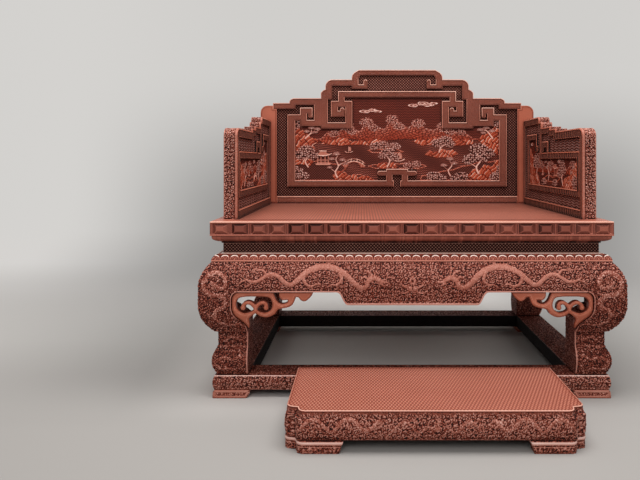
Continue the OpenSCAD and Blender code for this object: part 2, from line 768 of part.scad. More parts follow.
module arm_scene(hand) {
    inset = arm_fret_w + scene_gap;
    low = arm_frame_low + inset;
    front = arm_frame_front + inset;
    rear = arm_frame_rear - inset;
    turn = arm_turn_h - inset;
    hook_low = arm_turn_h - arm_hook_h - scene_gap;
    color(lacquer_carved) on_arm(hand, arm_core_t, arm_core_t + scene_t) polygon([
        [front, low], [rear, low], [rear, turn], [arm_mid_l + arm_hook_l + inset, turn],
        [arm_mid_l + arm_hook_l + inset, hook_low], [arm_mid_l + inset, hook_low],
        [arm_mid_l + inset, arm_frame_top - inset], [front, arm_frame_top - inset]]);
}

// Notched front corner of the footstool, as shares of its size
notch = [[0, 1], [0.04, 0.85], [0.17, 0.7], [0.37, 0.63], [0.59, 0.59], [0.63, 0.37], [0.7, 0.17], [0.85, 0.04], [1, 0]];

// Outline of the footstool grown outwards by g; its rear corners are square
function stool_outline(g) = let (
    x = stool_w / 2 + g,
    y = stool_d / 2 + g,
    near = [for (p = notch) [-x + p[0] * stool_corner, -y + p[1] * stool_corner]])
    concat(near, flipped(near), [[x, y], [-x, y]]);

module on_stool() {
    translate([stool_shift, -stool_gap - stool_d / 2, 0]) children();
}

module footstool_top() {
    color(lacquer) on_stool() translate([0, 0, stool_h - stool_top_t])
        linear_extrude(stool_top_t) polygon(stool_outline(0));
}

// Mitred apron of the footstool, thick enough at its ends to fill the notched corner
stool_apron_h = stool_h - stool_top_t - stool_foot_h;
stool_half_h = stool_apron_h / 2;
module footstool_bar(length) {
    half = length / 2;
    swell_r = arc_r(stool_half_h, stool_swell);
    swell_turn = arc_turn(stool_half_h, stool_swell);
    intersection() {
        union() {
            along_x(length + 2 * reach) polygon(concat(
                arc([swell_r - stool_swell, stool_foot_h + stool_half_h], swell_r, 180 - swell_turn, 180 + swell_turn, 8),
                [[stool_apron_t, stool_foot_h], [stool_apron_t, stool_foot_h + stool_apron_h]]));
            for (m = [-1, 1])
                translate([m * (half - stool_corner / 2), stool_corner * 0.75, stool_foot_h + stool_half_h])
                    cube([stool_corner, stool_corner * 0.75, stool_apron_h], center = true);
        }
        linear_extrude(stool_h)
            polygon([[-half - reach, -reach], [half + reach, -reach], [half - 100, 100], [-half + 100, 100]]);
    }
}

module footstool_apron(k) {
    long = k == FRONT || k == BACK;
    color(lacquer_carved) on_stool() intersection() {
        rotate(90 * k) translate([0, -(long ? stool_d : stool_w) / 2, 0]) footstool_bar(long ? stool_w : stool_d);
        linear_extrude(stool_h) polygon(stool_outline(stool_swell));
    }
}

// Low feet round the four corners, each a curved band with a cut-back end
stool_foot_out = stool_swell - 2;
module footstool_foot() {
    left = -stool_w / 2 - stool_foot_out;
    front = -stool_d / 2 - stool_foot_out;
    band_t = stool_apron_t + 8 + stool_foot_out;
    end_slope = 9;
    translate([left, front, 0]) cube([stool_corner + 12, stool_corner + 12, stool_foot_h]);
    along_y(front, front + band_t) polygon([
        [left, 0], [left, stool_foot_h], [left + stool_foot_l, stool_foot_h],
        [left + stool_foot_l - end_slope, 0]]);
    translate([left + band_t / 2, 0, 0]) along_x(band_t) polygon([
        [front, 0], [front, stool_foot_h], [front + stool_foot_side, stool_foot_h],
        [front + stool_foot_side - end_slope, 0]]);
}

module footstool_feet() {
    color(lacquer) on_stool() intersection() {
        linear_extrude(stool_foot_h) polygon(stool_outline(stool_foot_out));
        for (fx = [false, true]) for (fy = [false, true]) mirrored_x(fx) mirrored_y(fy) footstool_foot();
    }
}

for (k = [0:3]) placed() at_side(k) base_rail(k);
for (c = CORNERS) placed() at_corner(c[1], c[2]) base_foot();
for (c = CORNERS) placed() at_corner(c[1], c[2]) leg();
for (k = [0:3]) placed() at_side(k) apron(k);
for (b = BRACKETS) placed() at_side(b[1]) bracket(b[1], b[2]);
for (k = [0:3])
    placed() at_side(k) shoulder_moulding(k);
for (k = [0:3]) placed() at_side(k) waist_board(k);
for (k = [0:3]) placed() seat_rail(k);
placed() seat_panel();
placed() seat_battens();
placed() back_panel();
placed() back_fret_frame();
placed() back_scene();
placed() back_bottom_rail();
placed() color(core_wood) back_tenon_blocks(0);  // back_tenons
for (h = HANDS)
    placed() mirrored_x(h[1] < 0) back_stile();
for (h = HANDS) placed() arm_panel(h[1]);
for (h = HANDS) placed() arm_fret_frame(h[1]);
for (h = HANDS) placed() arm_scene(h[1]);
placed() color(core_wood) arm_tenon_blocks(0);  // arm_tenons
placed() footstool_top();
for (k = [0:3]) placed() footstool_apron(k);
placed() footstool_feet();
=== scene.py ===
"""A carved lacquer throne and its footstool, dressed for rendering over their solid model."""
import json
import math

import bmesh
import bpy
import numpy as np
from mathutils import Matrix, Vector
from mathutils.bvhtree import BVHTree

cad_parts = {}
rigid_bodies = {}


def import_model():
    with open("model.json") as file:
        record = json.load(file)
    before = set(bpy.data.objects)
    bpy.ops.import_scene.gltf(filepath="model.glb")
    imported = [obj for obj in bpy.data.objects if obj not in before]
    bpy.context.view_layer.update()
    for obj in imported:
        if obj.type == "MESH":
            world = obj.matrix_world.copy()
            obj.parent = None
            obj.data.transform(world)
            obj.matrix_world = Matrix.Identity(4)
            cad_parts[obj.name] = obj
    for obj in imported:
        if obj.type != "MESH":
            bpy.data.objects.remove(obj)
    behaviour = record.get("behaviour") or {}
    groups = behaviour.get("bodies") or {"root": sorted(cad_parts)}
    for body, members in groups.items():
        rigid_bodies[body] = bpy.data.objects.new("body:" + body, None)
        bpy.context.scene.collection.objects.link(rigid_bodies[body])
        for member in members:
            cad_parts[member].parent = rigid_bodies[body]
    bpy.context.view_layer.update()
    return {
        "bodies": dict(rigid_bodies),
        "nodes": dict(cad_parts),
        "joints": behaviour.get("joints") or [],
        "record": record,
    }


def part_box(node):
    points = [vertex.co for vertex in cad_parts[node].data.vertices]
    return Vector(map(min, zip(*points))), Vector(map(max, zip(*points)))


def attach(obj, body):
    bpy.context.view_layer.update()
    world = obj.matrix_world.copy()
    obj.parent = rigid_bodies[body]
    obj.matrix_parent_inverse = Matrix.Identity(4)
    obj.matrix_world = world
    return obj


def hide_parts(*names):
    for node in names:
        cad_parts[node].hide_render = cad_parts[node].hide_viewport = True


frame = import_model()
node = frame["nodes"]

# The camera's place: in front of the throne's left half at chest height, with the lens square
# to the front.
LENS_PX = 668
VIEW_PX = (640, 480)
VANISH_PX = (362, 160)
SENSOR = 36
camera_data = bpy.data.cameras.new("camera")
camera_data.sensor_width = SENSOR
camera_data.lens = LENS_PX / VIEW_PX[0] * SENSOR
camera_data.shift_x = (VIEW_PX[0] / 2 - VANISH_PX[0]) / VIEW_PX[0]
camera_data.shift_y = (VANISH_PX[1] - VIEW_PX[1] / 2) / VIEW_PX[0]
camera = bpy.data.objects.new("camera", camera_data)
camera.location = (-0.142, -2.15775, 0.68)
camera.rotation_euler = (math.pi / 2, 0, 0)
bpy.context.scene.collection.objects.link(camera)
bpy.context.scene.camera = camera
bpy.context.scene.view_settings.view_transform = "Standard"

# Backdrop: one pale sheet, a floor in front and a wall behind, with a soft bend between them. It carries
# a painted shadow round and behind the throne and is painted lighter under it. Seen from the camera, the
# wall and the far floor glow with the sheet's colour, paler up the wall, which is painted light; far from
# the throne, it shows the room's own colour.
FLOOR_NEAR, FLOOR_FAR, SHEET_HALF, WALL = -7.0, 4.2, 9, 4.0
BEND_LONG, BEND_RADIUS = 1.2, 0.764
ROOM, ROOM_SEEN, ROOM_LIGHT = "e6e4e2", 0.78, 0.56
SHEET = [(0.0, "9b9793"), (0.13, "a6a29e"), (0.19, "b8b4b0"), (0.26, "c8c5c1"), (0.42, "d6d3d0"),
         (1.0, "d4d2cf")]


def rgb(code):
    """Linear colour with alpha from a six digit colour code."""
    parts = [int(code[i:i + 2], 16) / 255 for i in (0, 2, 4)]
    return [c / 12.92 if c <= 0.04045 else ((c + 0.055) / 1.055) ** 2.4 for c in parts] + [1.0]


def adder(tree):
    """A helper that adds a node to a tree, with its links, its input values and its settings."""
    def add(kind, links=None, **values):
        made = tree.nodes.new(kind)
        for key, value in values.items():
            setattr(made, key, value)
        for socket, source in (links or {}).items():
            if hasattr(source, "is_output"):
                tree.links.new(source, made.inputs[socket])
            else:
                made.inputs[socket].default_value = source
        return made

    return add


def nodes_of(name):
    """A new material with its node tree, its surface shader and a helper that adds nodes."""
    material = bpy.data.materials.new(name)
    material.use_nodes = True
    tree = material.node_tree
    return material, tree, tree.nodes["Principled BSDF"], adder(tree)


def new_piece(name, mesh):
    """A new object of a mesh, in the scene."""
    piece = bpy.data.objects.new(name, mesh)
    bpy.context.scene.collection.objects.link(piece)
    return piece


def between(add, value, low, high, at_low, at_high, kind="SMOOTHSTEP"):
    """A value turned from one range into another, held at its ends."""
    return add("ShaderNodeMapRange", {"Value": value, "From Min": low, "From Max": high, "To Min": at_low,
                                      "To Max": at_high}, interpolation_type=kind).outputs["Result"]


def maths(add, operation, *values):
    """The result of one sum or other operation."""
    return add("ShaderNodeMath", dict(enumerate(values)), operation=operation).outputs[0]


def times(add, colour, factor):
    """A colour made darker or brighter."""
    return add("ShaderNodeVectorMath", {0: colour, 1: factor}, operation="MULTIPLY").outputs[0]


def own_place(add):
    """Each point's place on the object."""
    return add("ShaderNodeTexCoord").outputs["Object"]


def xyz(add, vector):
    """The three parts of a vector."""
    return add("ShaderNodeSeparateXYZ", {0: vector}).outputs


def noise(add, place, scale, detail, roughness=0.5):
    """Soft noise from 0 to 1."""
    return add("ShaderNodeTexNoise", {"Vector": place, "Scale": scale, "Detail": detail,
                                      "Roughness": roughness}).outputs["Fac"]


def ramp(add, level, stops):
    """The colour, or the grey, that a level has on a ramp of (level, colour code or grey)."""
    made = add("ShaderNodeValToRGB", {"Fac": level})
    for i, (at, colour) in enumerate(stops):
        stop = made.color_ramp.elements[i] if i < 2 else made.color_ramp.elements.new(at)
        stop.position = at
        stop.color = rgb(colour) if isinstance(colour, str) else (colour, colour, colour, 1)
    return made.outputs["Color"]


def seen_rays(add):
    """1 for rays from the camera and for what gloss and glass show of the background."""
    ray = add("ShaderNodeLightPath").outputs
    mirrored = maths(add, "MAXIMUM", ray["Is Glossy Ray"], ray["Is Transmission Ray"])
    return maths(add, "MAXIMUM", ray["Is Camera Ray"], mirrored)


paper, tree, shader, add = nodes_of("pale_backdrop")
shader.inputs["Roughness"].default_value = 0.9
x, y, z = xyz(add, own_place(add))
aside = maths(add, "ABSOLUTE", maths(add, "MULTIPLY_ADD", y, -0.12, maths(add, "ADD", x, 0.17)))
spread = maths(add, "DIVIDE", aside, maths(add, "MULTIPLY_ADD", y, 0.31, 1.13))
# Painted shadow: shade is 1 round and behind the throne, less up the wall, and gone in front of it.
shade = between(add, spread, 0.62, 1.4, 1.0, 0.0)
shade = maths(add, "MULTIPLY", shade, between(add, z, 0.0, 1.7, 1.0, 0.08))
shade = maths(add, "MULTIPLY", shade, between(add, y, -0.5, 0.0, 0.0, 1.0))
far = maths(add, "ADD", y, z)
colour = ramp(add, between(add, far, -1.2, 4.8, 0.0, 1.0, "LINEAR"), SHEET)
ring = between(add, spread, 0.3, 0.6, 0.0, 1.0)
# The floor's colour carries the painted shadow in a ring round the throne, and is painted lighter under it.
painted_floor_shading = maths(add, "MULTIPLY_ADD", shade, maths(add, "MULTIPLY_ADD", ring, -0.72, 0.38), 1.0)
painted_glow_shadow = maths(add, "MULTIPLY_ADD", shade, -0.54, 1.0)
tree.links.new(times(add, colour, painted_floor_shading), shader.inputs["Base Color"])
seen = seen_rays(add)
# For the camera and gloss, the wall and far floor glow with their colour and the painted shadow: painted
# light.
own = maths(add, "MULTIPLY", seen, between(add, far, 0.7, 2.4, 0.0, 1.0))
glow = add("ShaderNodeEmission", {"Color": times(add, colour, painted_glow_shadow), "Strength": 1.0})
both = add("ShaderNodeMixShader", {0: own, 1: shader.outputs[0], 2: glow.outputs[0]})
outward = maths(add, "MAXIMUM", maths(add, "ABSOLUTE", x), maths(add, "MULTIPLY", y, -1.0))
away = maths(add, "MULTIPLY", seen, between(add, outward, 3.2, 6.8, 0.0, 1.0))
distant = add("ShaderNodeEmission", {"Color": rgb(ROOM), "Strength": ROOM_SEEN})
blended = add("ShaderNodeMixShader", {0: away, 1: both.outputs[0], 2: distant.outputs[0]})
tree.links.new(blended.outputs[0], tree.nodes["Material Output"].inputs["Surface"])
bm = bmesh.new()
bmesh.ops.create_grid(bm, x_segments=24, y_segments=80, size=1)
flat = FLOOR_FAR - FLOOR_NEAR
for vertex in bm.verts:
    run = (vertex.co.y + 1) / 2 * (flat + BEND_LONG + WALL)
    bend = min(max(run - flat, 0), BEND_LONG) / BEND_LONG * math.pi / 2
    vertex.co = (vertex.co.x * SHEET_HALF, FLOOR_NEAR + min(run, flat) + BEND_RADIUS * math.sin(bend),
                 BEND_RADIUS * (1 - math.cos(bend)) + max(run - flat - BEND_LONG, 0))
backdrop_mesh = bpy.data.meshes.new("backdrop")
bm.to_mesh(backdrop_mesh)
bm.free()
for polygon in backdrop_mesh.polygons:
    polygon.use_smooth = True
backdrop_mesh.materials.append(paper)
new_piece("backdrop", backdrop_mesh)

# Light: a wide soft lamp overhead, a weaker one in front, and a pale room all round. The room looks
# brighter, itself and in what gloss shows of it, than the light it gives.


def soft_light(name, place, aim, size, power):
    """A flat soft lamp at a place, turned to a point."""
    data = bpy.data.lights.new(name, "AREA")
    data.shape = "RECTANGLE"
    data.size, data.size_y = size
    data.energy = power
    lamp = bpy.data.objects.new(name, data)
    lamp.location = place
    lamp.rotation_euler = (Vector(aim) - Vector(place)).to_track_quat("-Z", "Y").to_euler()
    bpy.context.scene.collection.objects.link(lamp)


soft_light("overhead_light", (0.15, -0.6, 3.0), (0, 0.1, 0.4), (2.4, 1.8), 80)
soft_light("front_light", (-0.3, -3.1, 2.0), (0, 0, 0.5), (1.6, 1.2), 34)
world = bpy.data.worlds.new("room")
world.use_nodes = True
room = world.node_tree.nodes["Background"]
room.inputs["Color"].default_value = rgb(ROOM)
add = adder(world.node_tree)
level = between(add, seen_rays(add), 0.0, 1.0, ROOM_LIGHT, ROOM_SEEN, "LINEAR")
world.node_tree.links.new(level, room.inputs["Strength"])
bpy.context.scene.world = world

# Base frame: four mitred softwood rails lacquered in one with the legs. The swelling outer side
# and the top are carved with small cloud scrolls between plain beads; the inner side is black.
SEAT_HALF, SEAT_DEEP, FRONT_EDGE = 575.0, 845.0, -257.75
SIDES = ("front", "right", "back", "left")
BASE_LOW, BASE_HIGH, BASE_OUT, BASE_IN, BASE_SWELL = 22.0, 65.0, 12, 107, 6
BASE_BEAD, MITRE_SEAM = 3.2, 2.5
BASE_FRONT_STEP, BASE_STEP = 2.8, 3.1


def on_side(k, along, inward, up):
    """Places, in metres, of points given in mm along one side of the seat, in from its edge and up."""
    middle = SEAT_DEEP / 2
    x, y = {
        0: (along, inward),
        1: (SEAT_HALF - inward, middle + along),
        2: (-along, SEAT_DEEP - inward),
        3: (inward - SEAT_HALF, middle - along),
    }[k]
    return np.stack([x, y + FRONT_EDGE, up], 1) / 1000


def side_half(k):
    """Half the seat's length along a side."""
    return SEAT_HALF if k % 2 == 0 else SEAT_DEEP / 2


def lottery(i, j, seed):
    """The same number from 0 to 1 every time for a cell of the pattern."""
    n = np.sin(i * 127.1 + j * 311.7 + seed * 74.7) * 43758.5453
    return n - np.floor(n)


def cells(s, t, pitch, seed):
    """The nearest to each point of seeds scattered one to a cell: its distance and the next one's,
    the way to the point from it, and a number that goes with it."""
    cell_s, cell_t = np.floor(s / pitch), np.floor(t / pitch)
    near = np.full(s.shape, 1e6)
    second, off_s, off_t, key = near.copy(), np.zeros(s.shape), np.zeros(s.shape), np.zeros(s.shape)
    for di in (-1, 0, 1):
        for dj in (-1, 0, 1):
            a, b = lottery(cell_s + di, cell_t + dj, seed), lottery(cell_s + di, cell_t + dj, seed + 5)
            ds = s - (cell_s + di + 0.15 + 0.7 * a) * pitch
            dt = t - (cell_t + dj + 0.15 + 0.7 * b) * pitch
            d = np.hypot(ds, dt)
            closer = d < near
            second = np.where(closer, near, np.minimum(second, d))
            off_s, off_t = np.where(closer, ds, off_s), np.where(closer, dt, off_t)
            key = np.where(closer, a * 7 + b * 13, key)
            near = np.where(closer, d, near)
    return near, second, off_s, off_t, key


def wave(x, period, turn=0.0):
    """Waves from 0 to 1, 1 where x is 0."""
    return 0.5 + 0.5 * np.cos(2 * math.pi * x / period + turn)


def cloud_scrolls(s, t, pitch, ridge, seed):
    """Height from 0 to 1 of a ground crowded with small carved cloud scrolls."""
    near, second, off_s, off_t, key = cells(s, t, pitch, seed)
    way = np.where(np.sin(key * 5) > 0, 1, -1)
    spiral = wave(near, ridge, key * 9 - way * np.arctan2(off_t, off_s))
    return spiral * np.clip((second - near) / 2.2, 0.12, 1)


def ease(x, low, high):
    """0 below low, 1 above high, smooth between."""
    t = np.clip((x - low) / (high - low), 0, 1)
    return t * t * (3 - 2 * t)


def dome(x):
    """Height of a half round: 1 in its middle, 0 at -1 and 1."""
    return np.sqrt(np.clip(1 - x ** 2, 0, 1))


def even_line(points, step):
    """Points spread evenly along a line, without its last one."""
    points = np.array(points, float)
    lengths = np.r_[0, np.cumsum(np.hypot(*np.diff(points, axis=0).T))]
    at = np.linspace(0, lengths[-1], max(1, round(lengths[-1] / step)) + 1)[:-1]
    return np.stack([np.interp(at, lengths, points[:, 0]), np.interp(at, lengths, points[:, 1])], 1), at


def arc(centre, radius, start, end, count=24):
    """Points along an arc between two angles in degrees."""
    angles = np.radians(np.linspace(start, end, count))
    return np.stack([centre[0] + radius * np.cos(angles), centre[1] + radius * np.sin(angles)], 1)


def bulge(low, high, edge, rise):
    """Outer line between two heights that swells out past its ends by rise, as (inward, up)."""
    half = (high - low) / 2
    radius = (rise ** 2 + half ** 2) / (2 * rise)
    turn = math.degrees(math.asin(half / radius))
    return arc((edge - rise + radius, low + half), radius, 180 + turn, 180 - turn)


def shaped_grid(name, columns, rows, shape, material):
    """A grid bent into a closed solid: shape turns (across, round) from -1 to 1 into places and
    tones."""
    bm = bmesh.new()
    bmesh.ops.create_grid(bm, x_segments=columns, y_segments=rows, size=1)
    mesh = bpy.data.meshes.new(name)
    bm.to_mesh(mesh)
    bm.free()
    flat = np.empty(len(mesh.vertices) * 3, np.float32)
    mesh.vertices.foreach_get("co", flat)
    places, tone = shape(flat[0::3].astype(float), flat[1::3].astype(float))
    mesh.vertices.foreach_set("co", places.astype(np.float32).ravel())
    mesh.attributes.new("tone", "FLOAT", "POINT").data.foreach_set("value", tone.astype(np.float32))
    bm = bmesh.new()
    bm.from_mesh(mesh)
    bmesh.ops.remove_doubles(bm, verts=bm.verts, dist=1e-6)
    bmesh.ops.holes_fill(bm, edges=[e for e in bm.edges if e.is_boundary], sides=0)
    bmesh.ops.recalc_face_normals(bm, faces=bm.faces)
    bm.to_mesh(mesh)
    bm.free()
    return finished(name, mesh, material)


def finished(name, mesh, material, sharp=50):
    """A piece at the origin with smooth faces that break at sharp edges."""
    mesh.polygons.foreach_set("use_smooth", np.ones(len(mesh.polygons), bool))
    mesh.set_sharp_from_angle(angle=math.radians(sharp))
    mesh.materials.append(material)
    return new_piece(name, mesh)


def mitred_bar(name, k, runs, relief, step, material):
    """A mitred bar along side k. Its section is a closed row of runs, each (line, step), and
    relief(run, along, distance, length) gives each point's height in mm and tone."""
    parts = []
    for i, (line, gap) in enumerate(runs):
        points, at = even_line(line, gap)
        total = np.hypot(*np.diff(np.array(line, float), axis=0).T).sum()
        parts.append((points, np.full(len(at), i), at, np.full(len(at), total)))
    section, which, distance, length = (np.concatenate(part) for part in zip(*parts))
    ahead, behind = np.roll(section, -1, 0), np.roll(section, 1, 0)
    way = (ahead - behind) / np.maximum(np.hypot(*(ahead - behind).T), 1e-9)[:, None]
    outward = np.stack([-way[:, 1], way[:, 0]], 1)
    half = side_half(k)
    count = len(section)

    def shape(across, round_):
        i = np.rint((round_ + 1) / 2 * count).astype(int) % count
        flat = across * (half - section[i, 0])
        height, tone = relief(which[i], flat, distance[i], length[i])
        height = height * ease(half - np.abs(flat) - section[i, 0], 0, MITRE_SEAM)
        inward, up = (section[i] + outward[i] * height[:, None]).T
        return on_side(k, across * (half - inward), inward, up), tone

    return shaped_grid(name, int(2 * half / step), count, shape, material)


def lacquer(name, stops, rough=0.42, mottle=0.18, grain=0.15, crevice_shade=0.32, warm_stops=None, pattern=None,
            strength=0.34, fade=None):
    """Lacquer whose colour follows the piece's tone, from sunk ground to pale ridge: partly dust and wear,
    partly painted shade in the hollows and painted highlight on the ridges. It is darker in sheltered
    corners, painted shade. Where the piece has a share of warm, warm_stops show; pattern(add, place)
    gives fine lines, 1 where they are deepest, that fade out over a range of tones."""
    material, tree, shader, add = nodes_of(name)
    tone = add("ShaderNodeAttribute", attribute_name="tone").outputs["Fac"]
    place = own_place(add)
    cloudy, fine = noise(add, place, 9.0, 4.0, 0.6), noise(add, place, 420.0, 3.0, 0.6)
    level = maths(add, "SUBTRACT", maths(add, "MULTIPLY_ADD", cloudy, mottle, tone), mottle / 2)
    level = maths(add, "SUBTRACT", maths(add, "MULTIPLY_ADD", fine, grain, level), grain / 2)
    relief, bump_strength, depth = fine, 0.12, 0.0005
    if pattern:
        lines = pattern(add, place)
        if fade:
            lines = maths(add, "MULTIPLY", lines, between(add, tone, *fade, 1.0, 0.0))
        level = maths(add, "MULTIPLY_ADD", lines, -strength, level)
        relief = maths(add, "MULTIPLY_ADD", lines, -1.0, relief)
        bump_strength, depth = 0.5, 0.0015
    # Painted shade: the colour is darkened in sheltered corners and crevices, found by ambient occlusion.
    shelter = add("ShaderNodeAmbientOcclusion", {"Distance": 0.014}, samples=6).outputs["AO"]
    level = maths(add, "ADD", level, between(add, shelter, 0.25, 0.9, -crevice_shade, 0.0, "LINEAR"))
    colour = ramp(add, level, stops)
    if warm_stops:
        share = add("ShaderNodeAttribute", attribute_name="warm").outputs["Fac"]
        mixed = add("ShaderNodeMix", data_type="RGBA")
        for socket, source in ((0, share), (6, colour), (7, ramp(add, level, warm_stops))):
            tree.links.new(source, mixed.inputs[socket])
        colour = mixed.outputs[2]
    tree.links.new(colour, shader.inputs["Base Color"])
    shader.inputs["Specular IOR Level"].default_value = 0.17
    worn = between(add, cloudy, 0.0, 1.0, rough - 0.07, rough + 0.1, "LINEAR")
    dull = maths(add, "ADD", worn, between(add, level, 0.0, 0.4, 0.4, 0.0, "LINEAR"))
    tree.links.new(dull, shader.inputs["Roughness"])
    bumps = add("ShaderNodeBump", {"Height": relief, "Strength": bump_strength, "Distance": depth})
    tree.links.new(bumps.outputs["Normal"], shader.inputs["Normal"])
    return material


def dotted(s, t, pitch, stretch=1.0):
    """Height from 0 to 1 of a close net cut on the slant, with a dot in each of its lozenges."""
    ways = [ease(1 - 2 * np.abs(way / pitch % 1 - 0.5), 0, 1) for way in (s + t / stretch, s - t / stretch)]
    return ways[0] * ways[1]


def dotted_lines(pitch, level, pale, stretch=1.0, slanted=True):
    """The same net as fine cuts in a lacquer, for level faces or upright ones, on the slant or
    square. Its dots are as pale as pale says."""
    half = pitch / 2000

    def pattern(add, place):
        x, y, z = xyz(add, place)
        s, t = (x, y) if level else (maths(add, "ADD", x, y), z)
        t = maths(add, "DIVIDE", t, stretch)
        ways = (maths(add, "ADD", s, t), maths(add, "SUBTRACT", s, t)) if slanted else (s, t)
        ways = [between(add, maths(add, "PINGPONG", way, half), 0.0, half, 0.0, 1.0) for way in ways]
        lines = between(add, maths(add, "MULTIPLY", *ways), 0.04, 0.7, 1.0, pale, "LINEAR")
        if level:
            upward = xyz(add, add("ShaderNodeNewGeometry").outputs["True Normal"])[2]
            lines = maths(add, "MULTIPLY", lines, between(add, upward, 0.9, 0.98, 0.0, 1.0))
        return lines

    return pattern


def winding_cuts(add, place):
    """Small winding cuts, toned dark as painted shade, with pale ridges between them where it falls below 0,
    painted highlights.
    """
    ridges = [(0.3, 0.1), (0.41, 0.35), (0.5, 1.0), (0.57, 0.35), (0.68, 0.0)]
    grey = ramp(add, noise(add, place, 185.0, 1.0), ridges)
    return between(add, grey, 0.0, 1.0, -0.7, 1.0, "LINEAR")


carved_lacquer = lacquer("carved_red_lacquer", [
    (0.0, "191110"), (0.04, "350d06"), (0.3, "742918"), (0.55, "a86452"), (0.8, "d7a294"), (1.0, "f8dcd4")],
    pattern=winding_cuts, strength=0.42, fade=(0.51, 0.6))


def base_relief(run, along, distance, length):
    """Outer side and top: carved between a bead at each edge. Inner side and underside: black."""
    edge = np.minimum(distance, length - distance)
    bead = (edge < BASE_BEAD) & (run == 0)
    carved = (run < 2) & ~bead
    scrolls = cloud_scrolls(along, distance + run * 80, 12.4, 5.4, 3)
    height = np.where(carved, -0.4 - ease(edge, BASE_BEAD, 5) * (1 - scrolls) * 2.2, 0)
    height = np.where(bead, -0.8 * (1 - dome(edge / BASE_BEAD * 2 - 1)), height)
    tone = np.where(carved, 0.04 + 0.8 * scrolls, -0.5)
    # Painted light: the upper bead is toned paler than the lower, a painted highlight, and the top, under the
    # seat, is toned darker than the outer side, painted shade.
    tone = np.where(bead, np.where(distance > length / 2, 1.05, 0.5), tone)
    tone = np.where(run == 1, 0.06 + 0.5 * scrolls, tone)
    return height, tone


for k, side in enumerate(SIDES):
    runs = [
        (bulge(BASE_LOW, BASE_HIGH, BASE_OUT, BASE_SWELL), 2.4),
        ([(BASE_OUT, BASE_HIGH), (BASE_IN, BASE_HIGH)], 3.0),
        ([(BASE_IN, BASE_HIGH), (BASE_IN, BASE_LOW)], 20),
        ([(BASE_IN, BASE_LOW), (BASE_OUT, BASE_LOW)], 45),
    ]
    rail = mitred_bar("base_rail_piece_" + side, k, runs, base_relief,
                      BASE_FRONT_STEP if k == 0 else BASE_STEP, carved_lacquer)
    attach(rail, "throne")
    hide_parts("base_rail_" + side)

# Base feet: low softwood blocks under the frame's corners, lacquered with it and cut back at their
# ends. Each outer face has a plain raised border round a finely cut field.
FOOT_FIELD, FOOT_BORDER = 0.42, 0.62
FOOT_STEPS = [(3.4, 0), (1.2, -1.4), (0.8, 0)]
FOOT_EASED = 1.2


def merged_copy(source):
    """A bmesh of a solid with its doubles merged and its flat faces in one."""
    bm = bmesh.new()
    bm.from_mesh(node[source].data)
    bmesh.ops.remove_doubles(bm, verts=bm.verts, dist=1e-6)
    bmesh.ops.dissolve_limit(bm, angle_limit=math.radians(0.6), verts=bm.verts, edges=bm.edges)
    return bm


def inset_ring(bm, faces, width, rise):
    """Insets a group of faces by a width and a rise in mm. Gives the ring of faces round it."""
    return bmesh.ops.inset_region(bm, faces=faces, thickness=width / 1000, depth=rise / 1000,
                                  use_boundary=True, use_even_offset=True)["faces"]


def toned(bm, name, tone_of, material, sharp=40):
    """Makes a mesh of the bmesh with each face corner's tone from tone_of(face)."""
    layer = bm.loops.layers.float.new("tone")
    for face in bm.faces:
        tone = tone_of(face)
        for loop in face.loops:
            loop[layer] = tone
    mesh = bpy.data.meshes.new(name)
    bm.to_mesh(mesh)
    bm.free()
    return finished(name, mesh, material, sharp)


for source in [n for n in node if n.startswith("base_foot_")]:
    bm = merged_copy(source)
    lowest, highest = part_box(source)
    x_side = 1 if "right" in source else -1
    y_side = 1 if "back" in source else -1
    edges = [e for e in bm.edges if len(e.link_faces) == 2 and e.calc_face_angle() > 1]
    bmesh.ops.bevel(bm, geom=edges, offset=FOOT_EASED / 1000, segments=2, profile=0.5, affect="EDGES",
                    material=-1)
    outer = [f for f in bm.faces if f.normal.x * x_side > 0.9 or f.normal.y * y_side > 0.9]
    field = set()
    for face in outer:
        for width, rise in FOOT_STEPS:
            inset_ring(bm, [face], width, rise)
        field.add(face)
    for vertex in bm.verts:
        vertex.co = [min(max(c, low), high) for c, low, high in zip(vertex.co, lowest, highest)]
    foot = toned(bm, "base_foot_piece_" + source[10:],
                 lambda f: FOOT_FIELD if f in field else FOOT_BORDER, carved_lacquer)
    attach(foot, "throne")
    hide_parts(source)

# Legs: thick softwood posts that bulge at the shoulder and again at the foot, carved all over
# with a curled dragon among cloud scrolls. A plain bead follows each inner edge.
APRON_LOW, LEG_TOP, LEDGES = 309.0, 391.0, (66, 146, 189)
INNER_BEAD, BEAD_GROOVE = 4.4, 1.6
OUTMOST, OUTER_FACE = 29.5, 26
CLOUDS = (12.8, 5.6)
NEAR_SIZE, FAR_SIZE = 2.2, 3.0
LEG_EDGE = np.concatenate([
    [(107, 65), (107, 195), (106, 213), (97, 226), (80, 236), (69, 250), (66, 265), (66, 289)],
    arc((86, 289), 20, 180, 90, 7), [(150, 309)]])


def face_depth(up):
    """How far the face of legs and aprons stands in from the seat's edge, at a height. It draws in
    along an arc above and below."""
    def drawn_in(rise, long, deep):
        radius = (long ** 2 + deep ** 2) / (2 * deep)
        return radius - OUTMOST - np.sqrt(radius ** 2 - np.clip(rise, 0, long) ** 2)

    return np.where(up > 300, drawn_in(up - 320, 71, 32.5), drawn_in(275 - up, 84, 37.5))


def off_line(s, t, line):
    """Distance of each point from a line of points."""
    best = np.full(s.shape, 1e6)
    for (x0, y0), (x1, y1) in zip(line[:-1], line[1:]):
        dx, dy = x1 - x0, y1 - y0
        share = np.clip(((s - x0) * dx + (t - y0) * dy) / max(dx * dx + dy * dy, 1e-9), 0, 1)
        best = np.minimum(best, np.hypot(s - x0 - share * dx, t - y0 - share * dy))
    return best


